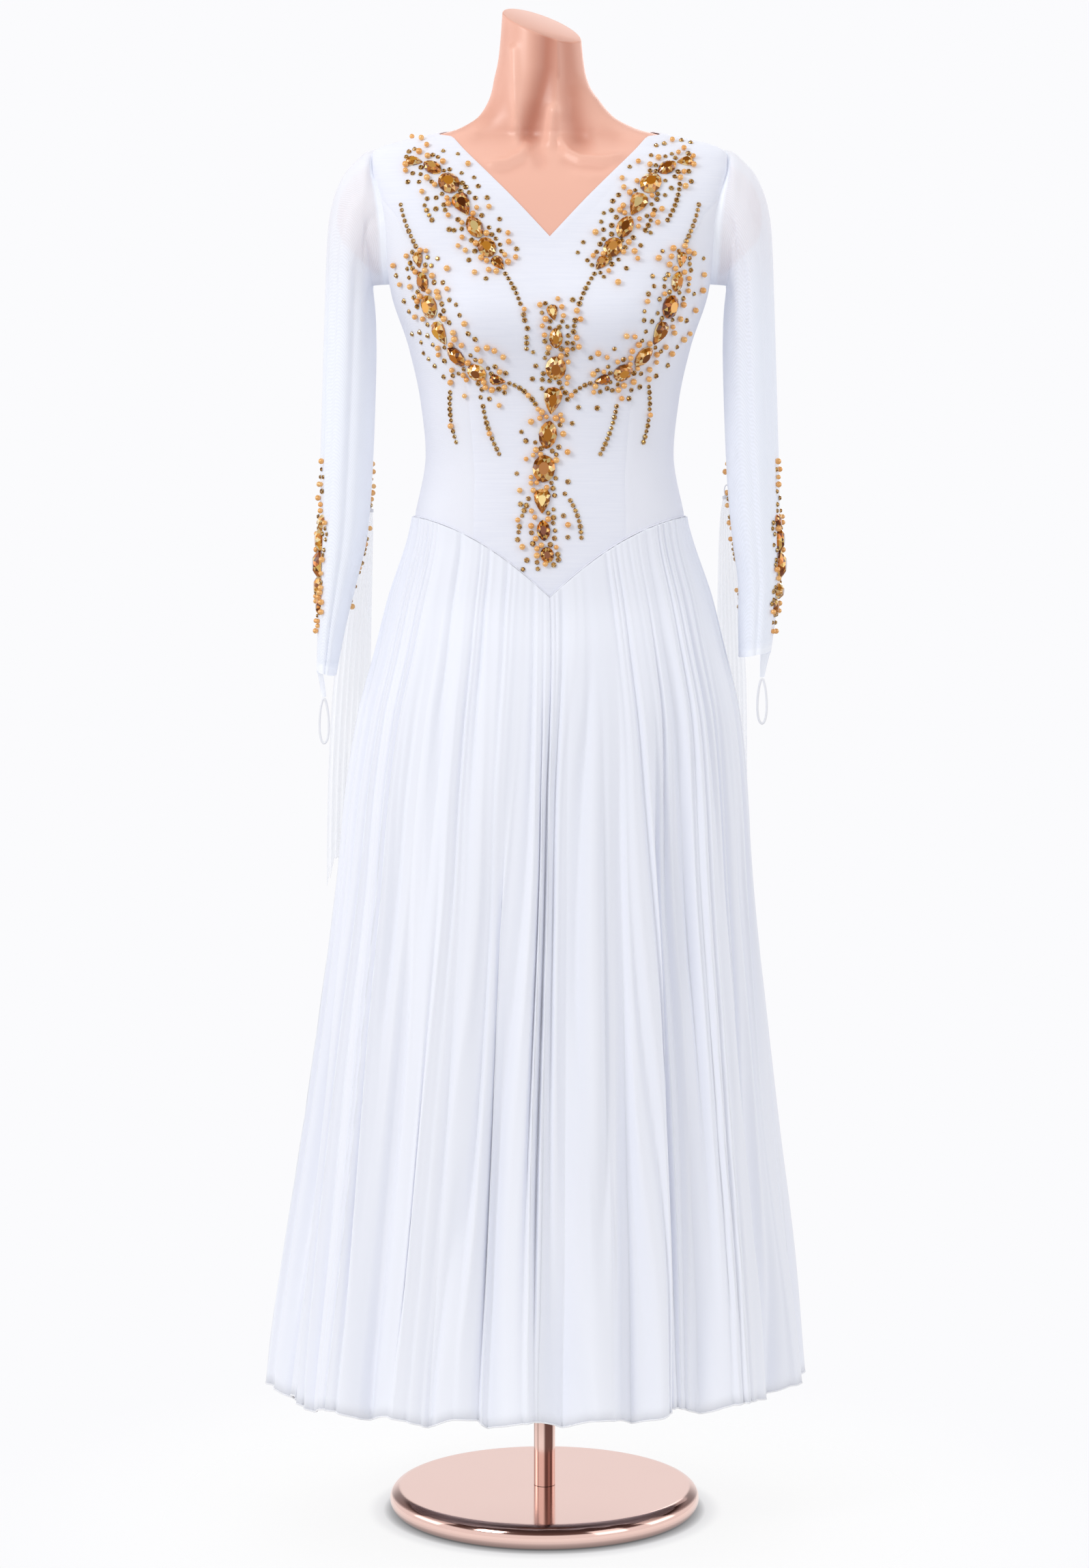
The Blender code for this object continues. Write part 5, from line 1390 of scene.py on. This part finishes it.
def make_float(side):
    """A pleated float behind the elbow, and the thread that binds its top."""
    table = FLOATS[side]
    columns = FLOAT_PLEATS * FLOAT_STEPS + 1
    down = np.linspace(0, 1, FLOAT_ROWS)[:, None]
    across = np.linspace(0, 1, columns)[None]
    heights = table["height"][0] + (table["height"][-1] - table["height"][0]) * down
    inner, outer, back = (read(table, k, heights) for k in ("inner", "outer", "back"))
    tail = FLOAT_TAIL * np.maximum(0.0, 1 - (1 - across) / FLOAT_TAIL_PART)
    tail = tail + FLOAT_STEP["drop"] * ((across > FLOAT_STEP["from"]) & (across < FLOAT_STEP["to"]))
    x = inner * (1 - across) + outer * across
    z = heights - tail * smooth(0.5, 1.0, down)
    size = FLOAT_DEPTH * np.minimum(1.0, FLOAT_CLOSED + FLOAT_OPENS * down) * np.ones(columns)
    points = np.stack([CENTRE_X + side * x, back * np.ones(columns), z], axis=-1)
    top = points[0]
    name = "float_" + SIDE_NAME[side]
    lifted = points - size[..., None] * (0, 1.0, 0)
    made = new_object("shown_" + name, lifted, (), grid_faces(FLOAT_ROWS, columns))
    store(made, "phase", across * FLOAT_PLEATS * np.ones(down.shape))
    store(made, "depth", size)
    for plain in ("hollow", "gather"):
        store(made, plain, np.zeros(size.shape))
    store_vector(made, "way_out", np.zeros(points.shape) + (0, -1.0, 0))
    through(made, PLEAT_TREE, "float_chiffon", FLOAT_SHAPE)
    thicken(made, FLOAT_THICK)
    attach(made, "chiffon", name)
    middle = top.mean(axis=0)
    half = np.abs(top[:, 0] - middle[0]).max() + BINDING["beyond"]
    turn = np.linspace(0, FULL_TURN, BINDING["points"])
    level = np.ones(len(turn))
    ring = np.stack([half * np.cos(turn), BINDING["deep"] * np.sin(turn), -BINDING["drop"] * level], -1)
    paths = [middle + ring + (0, 0, lift) for lift in BINDING_TURNS]
    rise = BAR["middle"] - BAR["tall"] * np.cos(turn)
    paths.append(middle + np.stack([BAR["wide"] * np.sin(turn), level * BAR["ahead"], rise], -1))
    for path in paths:
        path[-1] = path[0]
    binding = add_thread("float_binding_" + SIDE_NAME[side], paths, BINDING["thread"], "thread")
    attach(binding, "elastic")


def stone_object(name, outline, waist=0.30):
    """A faceted stone one unit long: girdle, crown and table, each facet with a number of its own."""
    outline = np.array(outline)
    count = len(outline)
    rng = np.random.default_rng(11 + count)
    crown = (outline + np.roll(outline, -1, axis=0)) / 2 * CROWN[0]
    rings = [(outline, 0.0), (outline, waist), (crown, CROWN[1]), (outline * TABLE[0], TABLE[1])]
    points = [(x, y, height) for ring, height in rings for x, y in ring]
    faces = []
    for k in range(count):
        n = (k + 1) % count
        b = (k - 1) % count
        faces.append((k, n, count + n, count + k))
        faces.append((count + k, count + n, 2 * count + k))
        faces.append((count + k, 2 * count + k, 2 * count + b))
        faces.append((2 * count + k, 3 * count + n, 3 * count + k))
        faces.append((2 * count + b, 2 * count + k, 3 * count + k))
    faces.append(tuple(range(3 * count, 4 * count)))
    faces.append(tuple(range(count - 1, -1, -1)))
    mesh = bpy.data.meshes.new(name)
    mesh.from_pydata(points, [], faces)
    facet = mesh.attributes.new("facet", "FLOAT", "FACE")
    facet.data.foreach_set("value", rng.random(len(faces)).astype(np.float32))
    return bpy.data.objects.new(name, mesh)


def round_turns(count):
    """Sine, cosine and angle of evenly spaced turns round an outline."""
    turns = np.linspace(0, FULL_TURN, count, endpoint=False)
    return [(math.sin(turn), math.cos(turn), turn) for turn in turns]


def lens(count):
    return [(0.5 * STONE_WIDTH * s * abs(s) ** 0.35, -0.5 * c) for s, c, _ in round_turns(count)]


def drop(count):
    return [
        (0.34 * s * (1 - 0.32 * c) * abs(math.sin(turn / 2)) ** 0.5, 0.5 * c)
        for s, c, turn in round_turns(count)
    ]


def round_outline(count, width=1.0):
    return [(0.5 * width * s, 0.5 * c) for s, c, _ in round_turns(count)]


def bead_object():
    mesh = bpy.data.meshes.new("bead")
    bm = bmesh.new()
    bmesh.ops.create_icosphere(bm, subdivisions=2, radius=0.5)
    bm.to_mesh(mesh)
    bm.free()
    mesh.shade_smooth()
    return bpy.data.objects.new("bead", mesh)


CUTS = {
    "navette": stone_object("navette", lens(12)),
    "drop": stone_object("drop", drop(12)),
    "oval": stone_object("oval", round_outline(12, 0.78)),
    "chaton": stone_object("chaton", round_outline(8)),
    "bead": bead_object(),
}


def set_stones(name, cut, finish, places, size, tones, deeps):
    """One mesh of stones on (spots, faces, lines), each a (width, length, height) of its own."""
    spots, faces, lines = places
    made = new_object(name, spots)
    for key, values in (("face", faces), ("line", lines), ("size", size)):
        store_vector(made, key, values)
    store(made, "tone", tones)
    store(made, "deep", deeps)
    through(made, SETTING_TREE, finish, {"Stone": CUTS[cut]})
    return made


def bezier(points, u):
    a, b, c, d = (np.array(p) for p in points)
    u = np.asarray(u)[:, None]
    return a * (1 - u) ** 3 + 3 * b * u * (1 - u) ** 2 + 3 * c * u * u * (1 - u) + d * u**3


def spaced(line, at):
    """Places along a line of points at these distances, and the line's direction there."""
    along = lengths(line)

    def at_distance(wanted):
        return np.stack([np.interp(wanted, along, line[:, k]) for k in (0, 1)], axis=-1)

    return at_distance(at), unit(at_distance(at + 0.002) - at_distance(at - 0.002))


def curve_line(curve, side, count):
    """A line of points along a curve of the table, on one side of the dress."""
    return bezier([(side * x, z) for x, z in curve], np.linspace(0, 1, count))


def stones_along(length, count, end, middle):
    sizes = end + (middle - end) * np.sin(np.pi * (np.arange(count) + 0.5) / count)
    spare = (length - sizes.sum()) / count
    starts = np.concatenate([[0], np.cumsum(sizes + spare)[:-1]])
    return starts + (sizes + spare) / 2, sizes


def on_front(spots):
    """Places on the front of the dress, from (across, height), with the cloth's outward direction."""
    turn = turn_across(spots[:, 0], spots[:, 1])
    return body_skin(turn, spots[:, 1]), body_normal(turn, spots[:, 1])


def on_sleeve(rows, normals):
    """A function that places (round, height) spots on a sleeve."""

    def place(spots):
        turns = (spots[:, 0] / ARM_ROUND + math.pi) % FULL_TURN / FULL_TURN
        columns = np.round(turns * SLEEVE_TURNS).astype(int) % SLEEVE_TURNS
        found = np.abs(rows[:, columns, 2] - spots[:, 1]).argmin(axis=0)
        return rows[found, columns], normals[found, columns]

    return place


def dress_sprig(name, slot_node, line, place, sizes, seed):
    """The large stones of one sprig, and the (across, height, length) that each takes up."""
    count, end, middle = sizes
    at, sizes = stones_along(lengths(line)[-1], count, end, middle)
    spots, direction = spaced(line, at)
    centres, facing = place(spots)
    lines = place(spots + direction * 0.003)[0] - centres
    rng = np.random.default_rng(seed)
    tones, deeps = rng.random(count), rng.random(count) ** 0.6
    kinds = np.array([("drop", "navette", "oval")[k % 3] for k in range(count)])
    made = []
    for kind in ("navette", "drop", "oval"):
        use = kinds == kind
        if not use.any():
            continue
        places = (centres[use] + facing[use] * 0.0003, facing[use], lines[use])
        size = sizes[use, None] * np.array((1.06, 1.0, STONE_HEIGHT))
        made.append(set_stones(f"{name}_{kind}", kind, "glass", places, size, tones[use], deeps[use]))
    attach(join(name, made), "crystal", slot_node)
    return [(x, z, size) for (x, z), size in zip(spots, sizes)]


def join(name, objects):
    """One piece of several, with one finish."""
    with bpy.context.temp_override(active_object=objects[0], selected_editable_objects=objects):
        bpy.ops.object.join()
    objects[0].name = name
    return objects[0]


def is_free(spot, taken, gap, share):
    """Whether a spot is this far from the small stones, and this share of their length from the large."""
    return all(
        (spot[0] - x) ** 2 + (spot[1] - z) ** 2 > (gap if size < LARGE_STONE else size * share) ** 2
        for x, z, size in taken
    )


def scatter(line, spray, rng, taken):
    """Places beside a line, closest to it most often, no nearer each other than the gap."""
    spread, count, gap = spray
    length = lengths(line)[-1]
    found = []
    for _ in range(count * 30):
        if len(found) >= count:
            break
        here, direction = spaced(line, np.array([rng.random() * length]))
        away = spread * (0.30 + 0.70 * rng.random() ** 1.5) * (1 if rng.random() < 0.5 else -1)
        spot = here[0] + np.array((-direction[0][1], direction[0][0])) * away
        if is_free(spot, taken, gap, 0.52):
            taken.append((spot[0], spot[1], TAKES_UP))
            found.append(spot)
    return found


def small_stones(name, spots, place, rng, pearl_share=PEARL_SHARE):
    """Rhinestones and pearls on these places."""
    centres, facing = place(np.array(spots))
    is_pearl = rng.random(len(spots)) < pearl_share
    tones = rng.random(len(spots))
    sizes = rng.uniform(*SMALL_VARY, len(spots))
    along = np.cross(facing, (0.3, 0.2, 1.0))
    for kind, use, size, height, lift, finish in (
        ("chaton", ~is_pearl, SMALL_STONE, 0.45, 0.0002, "rhinestone"),
        ("bead", is_pearl, PEARL, 1.0, PEARL * 0.42, "pearl"),
    ):
        if not use.any():
            continue
        places = (centres[use] + facing[use] * lift, facing[use], along[use])
        measures = sizes[use, None] * size * np.array((1.0, 1.0, height))
        made = set_stones(f"{name}_{kind}", kind, finish, places, measures, tones[use], tones[use])
        attach(made, "crystal")


def make_crystals():
    rng = np.random.default_rng(27)
    taken, spots, rows = [], [], []
    lines = []
    for key, (curve, *sizes) in SPRIGS.items():
        for side in (1,) if key == "centre" else (1, -1):
            line = curve_line(curve, side, 80)
            name = key + ("" if key == "centre" else "_" + SIDE_NAME[side])
            taken += dress_sprig("stones_" + name, "crystals_" + name, line, on_front, sizes, len(lines) + 3)
            lines.append((line, key))
    for line, key in lines:
        for spray in (SPRAY_NEAR[key], SPRAY_FAR):
            spots += scatter(line, spray, rng, taken)
    small_stones("spray", spots, on_front, rng)
    for curve in TRAILS:
        for side in (1, -1):
            line = curve_line(curve, side, LINE_POINTS)
            for spot in spaced(line, np.arange(0.002, lengths(line)[-1], TRAIL_STEP))[0]:
                if is_free(spot, taken, TRAIL_GAP, 0.5):
                    rows.append(spot)
                    taken.append((*spot, TAKES_UP))
    small_stones("trail", rows, on_front, rng, TRAIL_PEARLS)


def make_arm_crystals(side, rows, normals):
    rng = np.random.default_rng(40 + side)
    place = on_sleeve(rows, normals)
    u = np.linspace(0, 1, LINE_POINTS)
    height = ARM_SPRIG["top"] * (1 - u) + ARM_SPRIG["bottom"] * u
    turn = ARM_ROUND * (ARM_SPRIG["turn"] + ARM_SPRIG_BOW * np.sin(np.pi * u))
    line = np.stack([turn, height], axis=-1)
    name = "arm_" + SIDE_NAME[side]
    sizes = [ARM_SPRIG[key] for key in ("count", "end", "middle")]
    taken = dress_sprig("stones_" + name, "crystals_" + name, line, place, sizes, 60 + side)
    tail = np.linspace(*ARM_TAIL_HEIGHTS, LINE_POINTS)
    longer = np.stack([np.full(LINE_POINTS, turn.mean()), tail], axis=-1)
    spots = scatter(line, ARM_SPRAY, rng, taken) + scatter(longer, ARM_TAIL, rng, taken)
    small_stones("spray_" + name, spots, place, rng)
    turn = ARM_ROUND * (ARM_BACK_LINE["turn"] + ARM_BACK_LINE["sway"] * np.sin(3 * u))
    back = np.stack([turn, ARM_BACK_LINE["top"] - ARM_BACK_LINE["long"] * u], axis=-1)
    small_stones("back_spray_" + name, scatter(back, ARM_BACK, rng, []), place, rng, BACK_PEARLS)


def nearness(x, z, line, width):
    """How near points of the front are to a line of (across, height) points, 1 on it."""
    least = np.full(x.shape, np.inf)
    for start, end in zip(line, line[1:]):
        start, end = np.array(start), np.array(end)
        span = end - start
        share = np.clip(((x - start[0]) * span[0] + (z - start[1]) * span[1]) / (span @ span), 0.0, 1.0)
        least = np.minimum(least, np.hypot(x - start[0] - share * span[0], z - start[1] - share * span[1]))
    return np.exp(-((least / width) ** 2))


def neck_relief(points):
    """How far the neck and the collarbones stand out or sink in, and how deep each spot's painted shade is,
    less its painted highlights.
    """
    x, z = points[..., 0], points[..., 2]
    inside = read(NECK_EDGE, "across", np.clip(z, V_BOTTOM, NECK_EDGE["height"][-1])) - np.abs(x - CENTRE_X)
    inside = inside + RELIEF_OPEN["more"] * smooth(RELIEF_OPEN["from"], RELIEF_OPEN["to"], z)
    bare = smooth(*RELIEF_FRONT, points[..., 1]) * smooth(*RELIEF_EDGE, inside)
    low, high, dark, light = (np.zeros(x.shape) for _ in range(4))
    for line, width, out, shade in NECK_FORMS:
        near = nearness(x, z, line, width)
        wide = nearness(x, z, line, width * NECK_SHADE_SOFT)
        low, high = np.minimum(low, out * near), np.maximum(high, out * near)
        dark, light = np.maximum(dark, shade * wide), np.maximum(light, -shade * wide)
    return (low + high) * bare, np.clip(dark - light, 0.0, 1.0) * bare


def form_rows():
    """The form's rings of points, from its foot to the slanting cut at the top of its neck."""
    even = np.linspace(0, FULL_TURN, FORM_COLUMNS, endpoint=False)
    turns = even - FORM_FRONT_PULL * np.sin(even)
    low = np.linspace(FORM_BOTTOM, FORM_FINE_FROM, FORM_LOW_ROWS)[:-1]
    high = np.linspace(FORM_FINE_FROM, NECK_TOP, FORM_FINE_ROWS)
    turn, height = np.meshgrid(turns, np.concatenate([low, high]))
    under = FORM_TOP_GAP * (1 - smooth(FORM_SHOULDER, FORM_FREE, height))
    under = under + FORM_LOW_GAP * (1 - smooth(*FORM_LOW, height))
    normal = body_normal(turn, height, FORM_BUST)
    points = body_skin(turn, height, FORM_BUST) - normal * under[..., None]
    bend = np.clip((height - NECK_BEND_FROM) / (NECK_TOP - NECK_BEND_FROM), 0.0, None)
    points[..., 2] += bend * (NECK_SLANT * (points[..., 0] - CENTRE_X) + NECK_TILT * points[..., 1])
    points[..., 0] += NECK_LEAN * np.clip((height - BACK_NECK) / (NECK_LEAN_TO - BACK_NECK), 0.0, 1.0)
    points = points + normal * neck_relief(points)[0][..., None]
    points[0, :, 2] = FORM_BOTTOM
    top = points[-1]
    inwards = unit(top.mean(axis=0) - top) * CUT_EDGE
    rims = [
        top + inwards * (1 - math.cos(QUARTER * step)) + (0, 0, CUT_EDGE * math.sin(QUARTER * step))
        for step in CUT_STEPS
    ]
    return np.concatenate([points, rims])


def capped(rows):
    """The faces of a tube of rings, with one face over each end."""
    count, columns = rows.shape[:2]
    last = (count - 1) * columns
    faces = [tuple(f) for f in grid_faces(count, columns, ring=True)]
    return faces + [tuple(range(columns - 1, -1, -1)), tuple(range(last, last + columns))]


def make_form():
    rows = form_rows()
    torso = new_object("shown_form", rows, (), capped(rows), "plastic")
    settle(torso, 40)
    stumps = [stump_object(side) for side in (1, -1)]
    for stump in stumps:
        joined = torso.modifiers.new("stump", "BOOLEAN")
        joined.operation = "UNION"
        joined.object = stump
    frozen(torso)
    torso.data.shade_smooth()
    torso.data.set_sharp_from_angle(angle=math.radians(38))
    for stump in stumps:
        bpy.data.objects.remove(stump)
    spots = places_of(torso).astype(float)
    level = spots[:, 2] - NECK_SLANT * (spots[:, 0] - CENTRE_X - NECK_LEAN) - NECK_TILT * spots[:, 1]
    cut = smooth(*CUT_SHARP, level - NECK_TOP)
    # Painted shade of the neck's hollows and sides and of the flat cut
    store(torso, "shade", neck_relief(spots)[1] * (1 - cut) + CUT_SHADE * cut)
    attach(torso, "form_plastic", "form_torso")


def stump_object(side):
    """The cut-off upper arm, an egg with a slanting flat end."""
    bm = bmesh.new()
    bmesh.ops.create_uvsphere(bm, u_segments=64, v_segments=40, radius=1.0)
    for vertex in bm.verts:
        unit_place = np.array((vertex.co.z, vertex.co.y, -vertex.co.x))
        x, y, z = STUMP_CENTRE + STUMP_SIZE * unit_place
        vertex.co = Vector((CENTRE_X + side * x, y, z))
    cut = Vector((CENTRE_X + side * STUMP_CUT[0], STUMP_CUT[1], STUMP_CUT[2]))
    facing = Vector((side, 0, -1)).normalized()
    everything = bm.verts[:] + bm.edges[:] + bm.faces[:]
    found = bmesh.ops.bisect_plane(bm, geom=everything, plane_co=cut, plane_no=facing, clear_outer=True)
    rim = [item for item in found["geom_cut"] if isinstance(item, bmesh.types.BMEdge)]
    bmesh.ops.contextual_create(bm, geom=rim)
    bmesh.ops.recalc_face_normals(bm, faces=bm.faces)
    made = new_object("stump", ())
    bm.to_mesh(made.data)
    bm.free()
    made.hide_render = True
    return made


def turned(name, profile, sides):
    """A body turned round the Z axis from (radius, height) points, bottom to top."""
    turn = np.linspace(0, FULL_TURN, sides, endpoint=False)
    radius, height = np.array(profile).T
    level = np.ones(sides)
    x, y = np.outer(radius, np.cos(turn)), np.outer(radius, np.sin(turn))
    rows = np.stack([x, y, np.outer(height, level)], -1)
    made = new_object(name, rows, (), capped(rows), "rose_gold")
    settle(made, 35)
    return made


def make_stand():
    edge = BASE_THICK / 2
    bend = np.linspace(-QUARTER, QUARTER, RIM_RINGS)
    rim = [(BASE_RADIUS - edge + edge * math.cos(a), edge + edge * math.sin(a)) for a in bend]
    inside = [((BASE_RADIUS - edge) * k, BASE_THICK) for k in PLATE_RINGS]
    base = turned("shown_base", rim + inside, PLATE_SIDES)
    x, y, z = places_of(base).astype(float).T
    # Painted dark reflection in a band round the rim, in front and deeper towards its ends
    reflection_band = smooth(*RIM_REFLECTION[:2], (z - edge) / edge) * (1 - smooth(*RIM_REFLECTION[2:], (z - edge) / edge))
    front = 1 - smooth(*RIM_FRONT, y / BASE_RADIUS)
    store(base, "painted_reflection", reflection_band * front * (0.25 + 0.65 * smooth(*RIM_ENDS, np.abs(x) / BASE_RADIUS)))
    attach(base, "rose_gold", "base_plate")
    ends = (BASE_THICK + POLE_PLAY, FORM_BOTTOM - POLE_PLAY)
    pole = turned("shown_pole", [(POLE_RADIUS, z) for z in np.linspace(*ends, POLE_RINGS)], POLE_SIDES)
    x, y, z = places_of(pole).astype(float).T
    # Painted dark reflections along the pole
    pole_reflections = np.zeros(len(x))
    for middle, half, dark in POLE_REFLECTIONS:
        away = np.degrees(np.abs(wrapped(np.arctan2(x, -y) - math.radians(middle))))
        pole_reflections = np.maximum(pole_reflections, dark * (1 - smooth(half * 0.7, half * 1.15, away)))
    store(pole, "painted_reflection", pole_reflections)
    attach(pole, "rose_gold", "form_pole")


def light(name, at, target, size, power):
    data = bpy.data.lights.new(name, "AREA")
    data.shape = "RECTANGLE"
    data.size, data.size_y = size
    data.energy = power
    made = bpy.data.objects.new(name, data)
    made.location = at
    made.rotation_euler = (Vector(target) - Vector(at)).to_track_quat("-Z", "Y").to_euler()
    bpy.context.scene.collection.objects.link(made)


def make_camera():
    scene = bpy.context.scene
    data = bpy.data.cameras.new("camera")
    data.sensor_fit = "VERTICAL"
    data.sensor_height = 36.0
    data.lens = CAMERA_LENS
    data.clip_end = 60.0
    camera = bpy.data.objects.new("camera", data)
    camera.location = CAMERA_AT
    camera.rotation_euler = (QUARTER - CAMERA_DOWN, 0, 0)
    scene.collection.objects.link(camera)
    scene.camera = camera
    scene.view_settings.view_transform = "Standard"
    scene.view_settings.look = "None"


def make_studio():
    """A pale studio: soft light all round, a banded one for what polished parts mirror, and a floor."""
    for name, measures in LIGHTS.items():
        light(name, *measures)
    world = bpy.data.worlds.new("studio")
    world.use_nodes = True
    nodes = Nodes(world.node_tree)
    background = world.node_tree.nodes["Background"]
    direction = nodes.add("ShaderNodeTexCoord").outputs["Generated"]
    height = nodes.add("ShaderNodeSeparateXYZ", {}, {"Vector": direction}).outputs["Z"]
    place = Number(nodes, height) * 0.5 + 0.5
    soft = nodes.ramp(place, SOFT_LIGHT)
    path = nodes.add("ShaderNodeLightPath")
    around = nodes.mix(path.outputs["Is Glossy Ray"], soft, nodes.ramp(place, MIRRORED))
    seen = Number(nodes, path.outputs["Is Camera Ray"])
    nodes.feed(background.inputs["Color"], nodes.mix(seen, around, BACKDROP))
    nodes.feed(background.inputs["Strength"], WORLD_LIGHT + seen * (1 - WORLD_LIGHT))
    bpy.context.scene.world = world
    bpy.ops.mesh.primitive_plane_add(size=60.0, location=(0, 0, 0))
    floor = bpy.context.object
    floor.name = "floor"
    floor.data.materials.append(FINISH["floor"])


make_camera()
make_studio()
make_stand()
make_form()
make_bodice()
make_skirt()
for which in (1, -1):
    sleeve, outward = make_sleeve(which)
    make_float(which)
    make_arm_crystals(which, sleeve, outward)
make_crystals()
